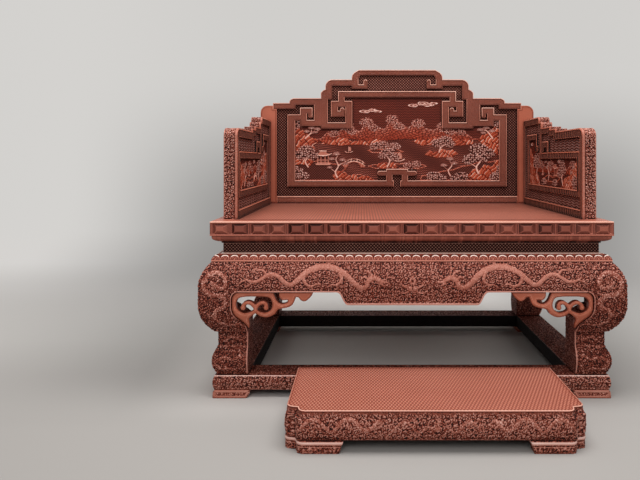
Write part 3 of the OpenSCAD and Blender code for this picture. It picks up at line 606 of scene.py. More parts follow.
def rounded(points, parts=6):
    """More points on a smooth curve through rows of numbers."""
    p = np.array(points, float)
    p = np.concatenate([2 * p[:1] - p[1:2], p, 2 * p[-1:] - p[-2:-1]])
    rows = []
    for a, b, c, d in zip(p[:-3], p[1:-2], p[2:-1], p[3:]):
        for t in np.arange(parts) / parts:
            rows.append(0.5 * (2 * b + (c - a) * t + (2 * a - 5 * b + 4 * c - d) * t ** 2
                               + (3 * b - a - 3 * c + d) * t ** 3))
    return np.array(rows + [p[-2]])


def raised_lines(s, t, lines):
    """Rounded bodies that follow lines of (s, t, half width). Gives how deep each point lies in
    a body, 1 on its middle line and 0 at its edge, below 0 outside, and the way along it."""
    inside = np.full(s.shape, -9.0)
    along = np.zeros(s.shape)
    for line in lines:
        p = rounded(line)
        run = 0.0
        for (x0, y0, r0), (x1, y1, r1) in zip(p[:-1], p[1:]):
            dx, dy = x1 - x0, y1 - y0
            length = math.hypot(dx, dy)
            share = np.clip(((s - x0) * dx + (t - y0) * dy) / max(length ** 2, 1e-9), 0, 1)
            reach = np.maximum(r0 + share * (r1 - r0), 0.3)
            depth = 1 - np.hypot(s - x0 - share * dx, t - y0 - share * dy) / reach
            better = depth > inside
            along = np.where(better, run + share * length, along)
            inside = np.where(better, depth, inside)
            run += length
    return inside, along


def carve(s, t, lines, ground, deep=2.4, scale=4.6, pale=0.5):
    """Height, 0 at the face and down into it, and tone of raised bodies with scales on a carved
    ground."""
    inside, along = raised_lines(s, t, lines)
    body = dome(np.clip(1 - inside, 0, 1))
    scales = wave(along, scale, 2.2 * inside)
    moat = ease(-inside, 0, 0.3)
    height = -0.8 - deep * (1 - ground * moat)
    height = np.where(inside > 0, -0.8 - deep + (deep + 0.8) * body - 0.6 * scales, height)
    # The ground is toned darker into the moat beside each body, nearly black at its edge: painted shade.
    tone = np.where(inside > 0, pale + 0.04 * body + 0.08 * scales, 0.06 + 0.68 * ground * moat)
    return height, tone


LEG_DRAGON = [
    [(98, 206, 1.2), (88, 214, 3.4), (64, 212, 4.6), (38, 216, 5.4), (20, 232, 6.2), (22, 254, 7),
     (44, 266, 7), (50, 284, 7), (34, 298, 7.2), (6, 302, 7.4), (-12, 322, 7.4), (-6, 350, 7), (20, 364, 7),
     (44, 352, 6.6), (50, 330, 6.4), (36, 318, 6.6), (20, 326, 7.4)],
    [(20, 326, 7.4), (12, 334, 5.4), (8, 338, 2.4)],
    [(24, 334, 3), (30, 344, 2), (40, 344, 1)],
    [(14, 320, 2.4), (2, 322, 1.6), (-4, 330, 1)],
    [(34, 298, 4), (52, 304, 3), (58, 318, 2.2), (66, 322, 1.2)],
    [(22, 244, 4), (4, 240, 3), (-6, 252, 2.2), (-14, 250, 1.2)],
    [(86, 74, 1.5), (60, 84, 4), (30, 82, 5), (14, 100, 5), (34, 116, 5.4), (66, 112, 5), (86, 126, 4),
     (80, 140, 2)],
    [(40, 160, 4), (60, 172, 4.4), (84, 164, 3.6), (96, 172, 1.6)]
]


def beaded(edge, height, tone, bead_tone):
    """Sets a bead and a groove behind it along an edge that lies at the given distances; the groove is
    toned dark, painted shade.
    """
    bead, groove = edge < INNER_BEAD, edge < INNER_BEAD + BEAD_GROOVE
    height = np.where(bead, dome(edge / INNER_BEAD * 2 - 1) - 1, np.where(groove, -2.0, height))
    return height, np.where(bead, bead_tone, np.where(groove, 0.14, tone))


def leg_relief(inward, up):
    """Relief of one leg's outer face; inward runs from the leg's own outer corner."""
    height, tone = carve(inward, up, LEG_DRAGON, cloud_scrolls(inward, up, *CLOUDS, 4))
    rim = ease(np.min([np.abs(up - high) for high in LEDGES], 0), 1.2, 2.8)
    # Painted shade: the carving is toned darker on the lower leg than near its top.
    height, tone = height * rim, tone * rim * (0.8 + 0.12 * ease(up, 240, 320)) + 0.46 * (1 - rim)
    return beaded(off_line(inward, up, LEG_EDGE), height, tone, 0.64)


def even_mesh(source, size):
    """A fine even copy of a solid, ready for carving: its mesh, points and normals in mm."""
    mesh = bpy.data.meshes.new(source + "_even")
    bm = merged_copy(source)
    bmesh.ops.triangulate(bm, faces=bm.faces)
    bm.to_mesh(mesh)
    bm.free()
    rough = new_piece(source + "_even", mesh)
    even = rough.modifiers.new("even", "REMESH")
    even.mode = "VOXEL"
    even.voxel_size = size / 1000
    fine = bpy.data.meshes.new_from_object(rough.evaluated_get(bpy.context.evaluated_depsgraph_get()))
    bpy.data.objects.remove(rough)
    points, normals = np.empty(len(fine.vertices) * 3), np.empty(len(fine.vertices) * 3)
    fine.vertices.foreach_get("co", points)
    fine.vertices.foreach_get("normal", normals)
    return fine, points.reshape(-1, 3) * 1000, normals.reshape(-1, 3)


def carved_copy(name, mesh, places, tone, turned_over, material, sharp=55):
    """A copy of an even mesh with its points moved to their places, in metres."""
    mesh = mesh.copy()
    mesh.vertices.foreach_set("co", places.astype(np.float32).ravel())
    mesh.attributes.new("tone", "FLOAT", "POINT").data.foreach_set("value", tone.astype(np.float32))
    if turned_over:
        mesh.flip_normals()
    mesh.update()
    mesh.materials.clear()
    return finished(name, mesh, material, sharp)


def carved_leg(size):
    """The front left leg, carved, with points a size apart: its mesh, its points and their tones."""
    mesh, points, normals = even_mesh("leg_front_left", size)
    inward_x, inward_y, up = points[:, 0] + SEAT_HALF, points[:, 1] - FRONT_EDGE, points[:, 2]
    out_x, out_y = -normals[:, 0], -normals[:, 1]
    front = (out_y >= out_x) & (out_y > 0.2) & (inward_y < OUTER_FACE)
    side = (out_x > out_y) & (out_x > 0.2) & (inward_x < OUTER_FACE)
    outer = (front | side) & (up > BASE_HIGH + 1) & (up < LEG_TOP - 0.5)
    height, tone = leg_relief(np.where(front, inward_x, inward_y), up)
    inner = ~outer & (up < APRON_LOW) & (np.minimum(out_x, out_y) < -0.5)
    scrolls = cloud_scrolls(np.where(out_x < out_y, inward_y, inward_x), up, *CLOUDS, 9)
    height = np.where(outer, height, np.where(inner, -0.3 - 1.2 * (1 - scrolls), 0))
    tone = np.where(outer, tone, np.where(inner, 0.08 + 0.55 * scrolls, 0.05))
    return mesh, points + normals * height[:, None], tone


near_leg, far_leg = carved_leg(NEAR_SIZE), carved_leg(FAR_SIZE)
for source in [n for n in node if n.startswith("leg_")]:
    right, back = "right" in source, "back" in source
    leg_mesh, moved, tone = far_leg if back else near_leg
    places = moved / 1000
    if right:
        places = places * (-1, 1, 1)
    if back:
        places = places * (1, -1, 1) + (0, (SEAT_DEEP + 2 * FRONT_EDGE) / 1000, 0)
    leg = carved_copy("leg_piece_" + source[4:], leg_mesh, places, tone, right != back, carved_lacquer)
    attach(leg, "throne")
    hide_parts(source)

# Aprons: bulging softwood boards mitred into the legs, with a dropped lobe in the middle. Two dragons
# among cloud scrolls face a pearl, over a plain bead along the lower edge.
LOBE_DROP, LOBE_SLOPE, APRON_THICK = 36.0, 34.0, 32.0
APRON_END, APRON_LEAN = 86, 51
DRAGON = [
    [(478, 352, 1.2), (462, 342, 3.6), (440, 338, 5), (418, 350, 5.6), (398, 359, 6), (376, 352, 6.6),
     (356, 334, 7), (340, 330, 7.4), (322, 344, 7.8), (296, 366, 8.2), (258, 379, 8.6), (220, 375, 8.6),
     (188, 358, 8.4), (164, 334, 8), (146, 322, 7.6), (130, 326, 7.4), (124, 342, 7), (112, 350, 7.6)],
    [(112, 350, 7.6), (98, 346, 7), (86, 338, 5), (74, 337, 3)],
    [(92, 334, 3.4), (82, 328, 2.6), (74, 328, 1.4)],
    [(112, 354, 3.2), (122, 364, 2.6), (136, 368, 1.2)],
    [(106, 356, 2.6), (110, 370, 2), (120, 378, 1)],
    [(118, 340, 3), (134, 350, 2.4), (146, 346, 1.2)],
    [(80, 342, 1.6), (66, 350, 1.2), (56, 346, 0.8)],
    [(206, 366, 5.5), (200, 344, 5), (212, 330, 4), (226, 330, 2.6), (236, 324, 1.4)],
    [(214, 330, 3), (212, 320, 2.2), (220, 314, 1.2)],
    [(310, 352, 5), (300, 332, 4.6), (284, 326, 3.8), (268, 332, 2.6), (258, 328, 1.4)],
    [(284, 326, 2.8), (280, 318, 2), (270, 316, 1.2)],
    [(408, 356, 4), (424, 370, 3.4), (440, 370, 2.6), (450, 376, 1.4)],
    [(468, 344, 3), (484, 336, 2.6), (492, 326, 1.2)],
    [(450, 338, 2.6), (462, 326, 2), (476, 322, 1)],
    [(240, 384, 3), (232, 388, 2), (226, 388, 1)],
    [(280, 376, 2.6), (272, 384, 2), (266, 386, 1)]
]
PEARL = [
    [(8, 319, 8), (9.5, 319.5, 8)],
    [(3, 330, 3), (6, 342, 3.4), (1, 352, 2.2), (7, 362, 1)],
    [(16, 322, 3), (28, 328, 2.6), (34, 338, 1.2)],
    [(14, 310, 3), (26, 306, 2.4), (38, 310, 1.2)]
]
SIDE_DRAGON = [
    [(330, 352, 1.2), (316, 342, 4), (296, 340, 5.4), (278, 354, 6.4), (256, 370, 7), (228, 372, 7.4),
     (204, 354, 7.6), (188, 334, 7.4), (166, 328, 7.2), (148, 342, 7), (128, 360, 7), (106, 358, 6.8),
     (94, 342, 7.2), (82, 332, 7.6)],
    [(82, 332, 7.6), (68, 332, 6.6), (56, 328, 4.6), (46, 328, 2.6)],
    [(64, 326, 3.2), (56, 318, 2.4), (48, 318, 1.2)],
    [(86, 340, 3.2), (96, 350, 2.4), (108, 352, 1.2)],
    [(200, 348, 4.6), (214, 334, 4), (206, 322, 2.8), (196, 320, 1.4)],
    [(290, 346, 4.4), (278, 330, 3.8), (262, 328, 2.6), (254, 322, 1.4)],
    [(120, 362, 4), (132, 374, 3), (146, 374, 1.4)]
]


def apron_low(k, along):
    """Height of an apron's lower edge at a distance from its middle."""
    lobe = 180.0 if k % 2 == 0 else 70.0
    t = np.linspace(0, 1, 15)
    return np.interp(np.abs(along), lobe + LOBE_SLOPE * (1.5 * t * (1 - t) + t ** 3),
                     APRON_LOW - LOBE_DROP * (1 - (3 * t ** 2 - 2 * t ** 3)))


board_section = np.concatenate([
    np.stack([np.linspace(0, 1, 55), np.zeros(55)], 1), [(1, 0.5)],
    np.stack([np.linspace(1, 0, 7), np.ones(7)], 1), [(0, 0.5)]])
for k, side in enumerate(SIDES):
    half = side_half(k)
    low_half = half - APRON_END
    line_at = np.linspace(0, low_half, 160)
    line = np.stack([line_at, apron_low(k, line_at)], 1)
    bends = np.r_[0, np.flatnonzero(np.diff(line[:, 1])), len(line) - 1]
    lower_edge = np.concatenate([line[bends], [(low_half + 6, APRON_LOW - 1)]])
    bodies = SIDE_DRAGON
    if k % 2 == 0:
        bodies = DRAGON + PEARL + [[(half - s, t, r) for s, t, r in body] for body in LEG_DRAGON[:6]]

    def apron_shape(across, round_):
        i = np.rint((round_ + 1) / 2 * len(board_section)).astype(int) % len(board_section)
        share, deep = board_section[i].T
        along = across * (low_half + APRON_LEAN * share)
        low = apron_low(k, along)
        z = low + share * (LEG_TOP - low)
        slope = face_depth(z + 0.5) - face_depth(z - 0.5)
        size = np.hypot(1, slope)
        ground = cloud_scrolls(half - np.abs(along), z, *CLOUDS, 4)
        height, tone = carve(np.abs(along), z, bodies, ground)
        height, tone = beaded(off_line(np.abs(along), z, lower_edge), height, tone, 0.7)
        height = np.where(deep > 0, 0, height)
        tone = np.where(deep > 0.6, -0.5, np.where(deep > 0, 0.2, tone))
        inward = face_depth(z) + deep * APRON_THICK - height / size
        return on_side(k, along, inward, z + height * slope / size), tone

    apron = shaped_grid("apron_piece_" + side, int(2 * half / 2.3), len(board_section), apron_shape,
                        carved_lacquer)
    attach(apron, "throne")
    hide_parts("apron_" + side)

# Corner brackets: openwork softwood boards cut as a ring with two curls, rounded and lacquered
# smooth, with a groove that follows every edge. They sit under the aprons, between the legs.
ROUND_OVER, EDGE_GROOVE = 6.5, 4.2
smooth_lacquer = lacquer("smooth_red_lacquer", [
    (0.0, "100e0e"), (0.05, "481a11"), (0.4, "85402f"), (0.7, "b76850"), (1.0, "e2a892")],
    rough=0.36, mottle=0.2, grain=0.14)


def bump(x, at, wide):
    """1 where x is at a value, falling away smoothly on both sides of it."""
    return np.exp(-((x - at) / wide) ** 2)


bracket_mesh, points, normals = even_mesh("bracket_front_left", 2.15)
bm = merged_copy("bracket_front_left")
outline = set()
for face in [f for f in bm.faces if abs(f.normal.y) < 0.1]:
    for edge in face.edges:
        (x0, _, z0), (x1, _, z1) = (v.co * 1000 for v in edge.verts)
        if math.hypot(x1 - x0, z1 - z0) > 0.05:
            outline.add((round(x0, 3), round(z0, 3), round(x1, 3), round(z1, 3)))
bm.free()
edge = np.full(len(points), 1e6)
for x0, z0, x1, z1 in outline:
    edge = np.minimum(edge, off_line(points[:, 0], points[:, 2], [(x0, z0), (x1, z1)]))
face = np.abs(normals[:, 1]) > 0.55
groove = bump(edge, EDGE_GROOVE, 0.9)
height = 3.0 * (dome(1 - np.clip(edge, 0, ROUND_OVER) / ROUND_OVER) - 1) - 1.1 * groove
# Painted light: a pale line just inside each rounded edge is a painted highlight; the groove, the cut sides
# and the back face are toned darker, painted shade.
tone = np.where(face, 0.66 - 0.34 * groove + 0.24 * bump(edge, 4.6, 1.9), 0.36)
tone = np.where(normals[:, 1] > 0.6, 0.22, tone)
local = points + normals * np.where(face, height, 0)[:, None] - (-SEAT_HALF, FRONT_EDGE, 0)
BRACKETS = ("front_left", "front_right", "right_front", "right_back", "back_right", "back_left",
            "left_back", "left_front")
for i, place in enumerate(BRACKETS):
    k, far = i // 2, i % 2 == 1
    along = local[:, 0] - side_half(k)
    places = on_side(k, -along if far else along, local[:, 1], local[:, 2])
    bracket = carved_copy("bracket_piece_" + place, bracket_mesh, places, tone, far, smooth_lacquer)
    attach(bracket, "throne")
    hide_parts("bracket_" + place)

# Shoulder mouldings: four mitred softwood lengths that slope out over the aprons, carved with a row
# of lappets between a plain bead at the foot and a fillet at the waist.
WAIST_LOW, SEAT_UNDER, WAIST_FACE, WAIST_REAR = 411.0, 441.0, 32, 42
LAPPET, LAPPET_WIDE, LAPPET_HIGH, LAPPET_FOOT = 27.4, 12.6, 16.5, 6
shoulder = np.concatenate([
    [(3, LEG_TOP)], rounded([(3, 394.5), (6, 402), (12.5, 408), (21, 410.4), (31, WAIST_LOW)], 5)])
moulding_lacquer = lacquer("moulding_red_lacquer", [
    (0.0, "220b07"), (0.15, "5e2115"), (0.35, "984a38"), (0.6, "c97f6b"), (0.8, "eebba9"), (1.0, "ffeee4")],
    rough=0.3, crevice_shade=0.15)


def shoulder_relief(run, along, distance, length):
    """A row of lappets on the slope, each with a rim, an inner line and a boss; a groove beside
    the bead and the fillet."""
    half_cell = np.abs((along / LAPPET) % 1 - 0.5) * LAPPET
    rise = distance - LAPPET_FOOT
    arch = np.hypot(half_cell / LAPPET_WIDE, rise / LAPPET_HIGH)
    rim = bump(arch, 0.9, 0.13)
    spandrel = 0.5 * ease(arch, 1.2, 1.4)
    lappet = np.maximum.reduce([rim, 0.85 * bump(arch, 0.5, 0.1), bump(arch, 0, 0.26), spandrel])
    body = (distance > 5) & (distance < length - 7)
    groove = np.maximum(bump(distance, 4.4, 0.8), bump(length - distance, 6.4, 0.9))
    height = np.where(body, -2.4 * (1 - lappet), 0) - 1.2 * groove
    # Painted light: the upper part of each lappet's rim is a painted highlight, the grooves are toned dark as
    # painted shade, and the strip at the top and the flat top are toned pale to light them in the seat's
    # shadow.
    plain = np.where(distance > 5, 1.05, 0.62)
    tone = np.where(body, 0.72 * lappet + 0.95 * rim * ease(rise, 6, 13), plain) - 0.5 * groove
    return np.where(run == 0, height, 0), np.where(run == 0, tone, np.where(run == 1, 1.05, 0.1))


for k, side in enumerate(SIDES):
    runs = [(shoulder, 1.5), ([(31, WAIST_LOW), (WAIST_REAR, WAIST_LOW)], 6),
            ([(WAIST_REAR, WAIST_LOW), (WAIST_REAR, LEG_TOP)], 20),
            ([(WAIST_REAR, LEG_TOP), (3, LEG_TOP)], 20)]
    moulding = mitred_bar("shoulder_moulding_piece_" + side, k, runs, shoulder_relief, 2.3, moulding_lacquer)
    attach(moulding, "throne")
    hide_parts("shoulder_moulding_" + side)

# Waist boards: thin softwood boards set back between moulding and seat, in dark lacquer cut with a
# close net on the slant, with a dot in each lozenge, between two fillets.
WAIST_PITCH = 9.6
dark_lacquer = lacquer("dark_ground_lacquer", [
    (0.0, "160504"), (0.2, "330f09"), (0.45, "63392f"), (0.7, "936658"), (1.0, "d0a698")],
    rough=0.5, crevice_shade=0.2, pattern=dotted_lines(WAIST_PITCH, False, -1.1), strength=0.32, fade=(0.6, 0.7))


def waist_relief(k):
    """Relief of the board on side k. The net goes by places on the throne, as its lacquer does."""
    from_face, middle = FRONT_EDGE + WAIST_FACE, SEAT_DEEP / 2 + FRONT_EDGE
    start = (from_face, SEAT_HALF - WAIST_FACE + middle, SEAT_DEEP - WAIST_FACE + FRONT_EDGE,
             WAIST_FACE - SEAT_HALF + middle)[k]

    def relief(run, along, distance, length):
        net = dotted(start + (along if k < 2 else -along), WAIST_LOW + distance, WAIST_PITCH)
        fillet = np.minimum(distance, length - distance) < 2.4
        height = np.where(fillet | (run != 0), 0, -1.6 * (1 - net))
        return height, np.where(run == 0, np.where(fillet, 0.86, 0.33), 0.1)

    return relief


for k, side in enumerate(SIDES):
    corners = [(WAIST_FACE, WAIST_LOW), (WAIST_FACE, SEAT_UNDER), (WAIST_REAR, SEAT_UNDER),
               (WAIST_REAR, WAIST_LOW)]
    runs = [([corners[i], corners[(i + 1) % 4]], step) for i, step in enumerate((1.7, 10, 30, 10))]
    board = mitred_bar("waist_board_piece_" + side, k, runs, waist_relief(k), 2.0, dark_lacquer)
    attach(board, "throne")
    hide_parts("waist_board_" + side)

# Seat frame: four mitred softwood rails. The upright band is cut into a row of shallow hipped blocks
# over a hollow moulding. The top is cut with a fine square net, and its thin edge is painted bright, a
# painted highlight. The blocks' facets and hip lines carry painted light and shade, and the hollow and
# the lip under the band are toned dark, painted shade.
SEAT_TOP, BAND_LOW = 505.0, 464.0
PANEL_REBATE, REBATE_LOW, RAIL_IN = 70, 493, 95
FRONT_BLOCKS, SIDE_BLOCKS = 21, 15
SEAT_FRONT_STEP, SEAT_STEP = 1.9, 2.9
BLOCK_SIDE, BLOCK_ABOVE, BLOCK_BELOW = 5.2, 4.6, 5.4
# Tones of the plain runs: the top edge is a painted highlight and the lip under the band painted shade.
HOLLOW_TONE, LIP_TONE, EDGE_HIGHLIGHT_TONE, TOP_TONE, HIDDEN_TONE = 0.3, 0.25, 1.1, 0.66, 0.1
hollow = np.concatenate([
    [(28, SEAT_UNDER)], rounded([(28, 445), (18, 447.5), (8.5, 452), (4.6, 457), (4, BAND_LOW)], 4)])
SEAT_LINES = dotted_lines(9.0, True, -0.7, 1.0, False)
seat_lacquer = lacquer("seat_red_lacquer", [
    (0.0, "140a08"), (0.08, "3a130b"), (0.33, "7c4135"), (0.58, "a65f4e"), (0.8, "c97f67"), (1.0, "f3bba6")],
    rough=0.33, mottle=0.1, grain=0.05, pattern=SEAT_LINES, strength=0.16, crevice_shade=0.2)


def block_relief(k):
    """Relief of the rail on side k: blocks of unlike height with hipped sides, on a sunk ground
    with two fine fillets between blocks, and a bead along the band's foot and top."""
    count = FRONT_BLOCKS if k % 2 == 0 else SIDE_BLOCKS
    pitch = 2 * side_half(k) / count

    def relief(run, along, distance, length):
        cell = along / pitch + count / 2
        luck = lottery(np.floor(cell), 3.0 + k, 8.0)
        from_middle = cell % 1 - 0.5
        off_seam = (0.5 - np.abs(from_middle)) * pitch
        to_side = off_seam - BLOCK_SIDE
        above, below = length - BLOCK_ABOVE - distance, distance - BLOCK_BELOW
        to_edge = np.minimum(above, below)
        inside = np.minimum(to_side, to_edge)
        slope = np.minimum(to_side * 0.7, to_edge)
        plateau = 6.0 + 2.4 * luck
        hip = -5.0 + np.clip(slope, 0, plateau) / plateau * 4.4
        fillets = np.maximum(bump(off_seam, 1.4, 0.9), bump(off_seam, 4.2, 0.7))
        frame = np.where(inside < 0, np.where(to_edge < 0, -0.8, -2.2 + 1.8 * fillets), hip)
        foot_bead, top_bead = distance < 3.6, length - distance < 2.4
        height = np.where(foot_bead | top_bead, 0, frame)
        # Painted light: each facet is toned by the way it faces, the left darker than the right and the upper
        # darker than the lower, and the hip lines are painted highlights, brighter low down.
        facet = np.where(to_side * 0.7 < to_edge, 0.32 + 0.08 * np.sign(from_middle),
                         np.where(above < below, 0.24, 0.4))
        hips = bump(to_side * 0.7, to_edge, 1.0) * np.where(below < above, 1, 0.5)
        tone = np.where(slope > plateau, 0.34 + 0.22 * luck,
                        facet - 0.04 + 0.2 * (luck - 0.5) + 0.4 * hips)
        tone = np.where(inside < 0, np.where(to_edge < 0, 0.34, 0.14 + 0.4 * fillets), tone)
        tone = np.where((to_edge < 0) & (above < below), 0.4, tone)
        tone = np.where(foot_bead, 0.6, np.where(top_bead, 0.62, tone))
        plain = np.choose(run, [HOLLOW_TONE, LIP_TONE, 0, EDGE_HIGHLIGHT_TONE, TOP_TONE] + [HIDDEN_TONE] * 4)
        tone = np.where(run == 2, tone, plain)
        streak = lottery(np.floor(along / 4.3), 1.0, 5.0) * lottery(np.floor(along / 17.0), 2.0, 5.0)
        # The hollow is toned darker toward its lower, inner end, painted shade, with streaks of its own.
        tone = np.where(run == 0, 0.06 + 0.34 * ease(distance, 2, 24) + 0.3 * streak, tone)
        return np.where(run == 2, height, 0), tone

    return relief


for k, side in enumerate(SIDES):
    runs = [
        (hollow, 2.4), ([(4, BAND_LOW), (0, BAND_LOW)], 2), ([(0, BAND_LOW), (0, SEAT_TOP - 2)], 1.5),
        ([(0, SEAT_TOP - 2), (0.6, SEAT_TOP - 0.6), (2, SEAT_TOP)], 1),
        ([(2, SEAT_TOP), (PANEL_REBATE, SEAT_TOP)], 24),
        ([(PANEL_REBATE, SEAT_TOP), (PANEL_REBATE, REBATE_LOW)], 12),
        ([(PANEL_REBATE, REBATE_LOW), (RAIL_IN, REBATE_LOW)], 25),
        ([(RAIL_IN, REBATE_LOW), (RAIL_IN, SEAT_UNDER)], 26),
        ([(RAIL_IN, SEAT_UNDER), (28, SEAT_UNDER)], 30)]
    rail = mitred_bar("seat_rail_piece_" + side, k, runs, block_relief(k),
                      SEAT_FRONT_STEP if k == 0 else SEAT_STEP, seat_lacquer)
    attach(rail, "throne")
    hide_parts("seat_rail_" + side)

# Seat panel: one thick board, lacquered with the frame, rubbed smooth and cut with the same
# square net. It lies on battens of bare softwood; loose tenons of it hold back and arms.
panel_lacquer, tree, shader, add = nodes_of("seat_panel_lacquer")
place = own_place(add)
stretched = add("ShaderNodeMapping", {"Vector": place, "Scale": (3.0, 26.0, 8.0)}).outputs[0]
streaks = noise(add, stretched, 3.0, 5.0, 0.6)
shade = between(add, maths(add, "ADD", streaks, noise(add, place, 5.0, 3.0)), 0.6, 1.4, 0.0, 1.0, "LINEAR")
cuts = SEAT_LINES(add, place)
# Painted shade: the colour is darkened in sheltered corners, found by ambient occlusion; it also grows darker
# towards the back.
shelter = add("ShaderNodeAmbientOcclusion", {"Distance": 0.06}, samples=6).outputs["AO"]
tint = maths(add, "MULTIPLY", between(add, cuts, -0.7, 1.0, 1.55, 0.5, "LINEAR"),
             between(add, shelter, 0.4, 1.0, 0.35, 1.0, "LINEAR"))
rearward = between(add, xyz(add, place)[1], -0.2, 0.5, 1.0, 0.62, "LINEAR")
colour = ramp(add, shade, [(0.0, "a85e4a"), (1.0, "be725e")])
tree.links.new(times(add, colour, maths(add, "MULTIPLY", tint, rearward)), shader.inputs["Base Color"])
tree.links.new(between(add, streaks, 0.0, 1.0, 0.28, 0.42, "LINEAR"), shader.inputs["Roughness"])
raised = maths(add, "MULTIPLY_ADD", cuts, -1.0, streaks)
brushed = add("ShaderNodeBump", {"Height": raised, "Strength": 0.3, "Distance": 0.001})
tree.links.new(brushed.outputs["Normal"], shader.inputs["Normal"])

core_wood, tree, shader, add = nodes_of("bare_softwood")
stretched = add("ShaderNodeMapping", {"Vector": own_place(add), "Scale": (60.0, 4.0, 60.0)}).outputs[0]
colour = ramp(add, noise(add, stretched, 2.0, 6.0, 0.65), [(0.3, "4c3524"), (0.7, "84654a")])
tree.links.new(colour, shader.inputs["Base Color"])
shader.inputs["Roughness"].default_value = 0.75
for name, material in (("seat_panel", panel_lacquer), ("seat_battens", core_wood),
                       ("back_tenons", core_wood), ("arm_tenons", core_wood)):
    node[name].data.materials.clear()
    node[name].data.materials.append(material)

# Back: a thick softwood panel with a stepped outline, tenoned into the seat. Bands of squared
# scrolls stand round a carved picture, and the ground between them is cut with a close diaper.
FRET_SQUARES = 10.0


def squared_scrolls(add, place):
    """Fine lines of squares within squares, over faces that stand upright."""
    x, y, z = xyz(add, place)
    across = maths(add, "PINGPONG", maths(add, "ADD", x, y), FRET_SQUARES / 2000)
    nearer = maths(add, "MINIMUM", across, maths(add, "PINGPONG", z, FRET_SQUARES / 2000))
    return between(add, maths(add, "PINGPONG", nearer, 0.0009), 0.00025, 0.0007, 1.0, 0.0, "LINEAR")


fret_lacquer = lacquer("fret_band_lacquer", [
    (0.0, "160806"), (0.2, "4e2017"), (0.45, "834434"), (0.7, "b06853"), (0.9, "dc9c88"), (1.0, "efbdab")],
    rough=0.36, mottle=0.24, grain=0.14, pattern=squared_scrolls, strength=0.3, fade=(0.62, 0.7))
BAND_BEAD = [(0.9, 0.7, 0.95), (1.9, 0, 1.0), (0.9, -1.5, 0.3), (0.4, 0, 0.35)]
STILE_BEAD = [(1.2, 0.5, 0.66), (3.0, 0, 0.7), (1.0, -1.2, 0.44), (0.6, 0, 0.5)]
RAIL_BEAD = [(1.2, 0.5, 0.86), (2.6, 0, 0.9), (0.9, -1.3, 0.4), (0.6, 0, 0.45)]
PANEL_BEAD = [(1.5, 0.4, 0.6), (12, 0, 0.55), (1.5, -1.0, 0.3)]


def painted_light_wall_tone(face):
    """Tone of a side wall, painted light: a painted highlight where it faces up, painted shade where it
    faces down.
    """
    return 0.75 if face.normal.z > 0.5 else 0.05 if face.normal.z < -0.5 else 0.3


def banded(source, name, facing, material, field, bead=BAND_BEAD, lit=(0, 0, 1)):
    """A copy of a flat solid with a bead round its outline on the faces that face one way. The
    bead's steps are (width, rise, tone), and it is palest where the outline faces the way lit, a painted
    highlight; its side walls are painted pale above and dark below, painted light and shade."""
    bm = merged_copy(source)
    front = [f for f in bm.faces if f.normal.dot(Vector(facing)) > 0.9]
    tones = {}
    for width, rise, tone in bead:
        ring = inset_ring(bm, front, width, rise)
        inward = set(front) | set(ring)
        for face in ring:
            out = Vector()
            for e in face.edges:
                if any(f not in inward for f in e.link_faces):
                    out += (e.verts[0].co + e.verts[1].co) / 2 - face.calc_center_median()
            tones[face] = tone * (0.76 + 0.24 * out.normalized().dot(Vector(lit)))
    tones.update((f, field) for f in front)
    piece = toned(bm, name, lambda f: tones.get(f, painted_light_wall_tone(f)), material)
    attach(piece, "footstool" if "footstool" in name else "throne")
    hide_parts(source)


banded("back_fret_frame", "back_fret_piece", (0, -1, 0), fret_lacquer, 0.58)
for hand in ("left", "right"):
    banded("back_stile_" + hand, "back_stile_piece_" + hand, (0, -1, 0), smooth_lacquer, 0.59, STILE_BEAD)
banded("back_bottom_rail", "back_bottom_rail_piece", (0, -1, 0), fret_lacquer, 0.6, RAIL_BEAD)
banded("back_panel", "back_panel_piece", (0, 1, 0), smooth_lacquer, 0.42, PANEL_BEAD)

# Picture board: softwood let in between the bands, its thick lacquer carved in low relief with a
# landscape of crags, pines, water, a pavilion and a bridge, on diaper grounds.
picture_lacquer = lacquer("picture_red_lacquer", [
    (0.0, "1c0704"), (0.3, "622a1f"), (0.55, "925a4d"), (0.8, "c2958a"), (1.0, "efd0c5")], rough=0.4,
    mottle=0.1, grain=0.12, crevice_shade=0.55, warm_stops=[
        (0.0, "2a0803"), (0.3, "84270f"), (0.55, "ba4a2a"), (0.8, "d9825f"), (1.0, "f4bfa8")])
ROCK_LAYER, ROCK_LONG = 12.5, 30


def within(s, t, outline):
    """True for the points that lie inside an outline."""
    odd = np.zeros(s.shape, bool)
    for (x0, y0), (x1, y1) in zip(outline, outline[1:] + outline[:1]):
        if y0 != y1:
            odd ^= ((y0 > t) != (y1 > t)) & (s < (x1 - x0) * (t - y0) / (y1 - y0) + x0)
    return odd


def mirrored(half):
    """An outline from its right half, which starts and ends on the middle line."""
    return half + [(-s, t) for s, t in reversed(half)]


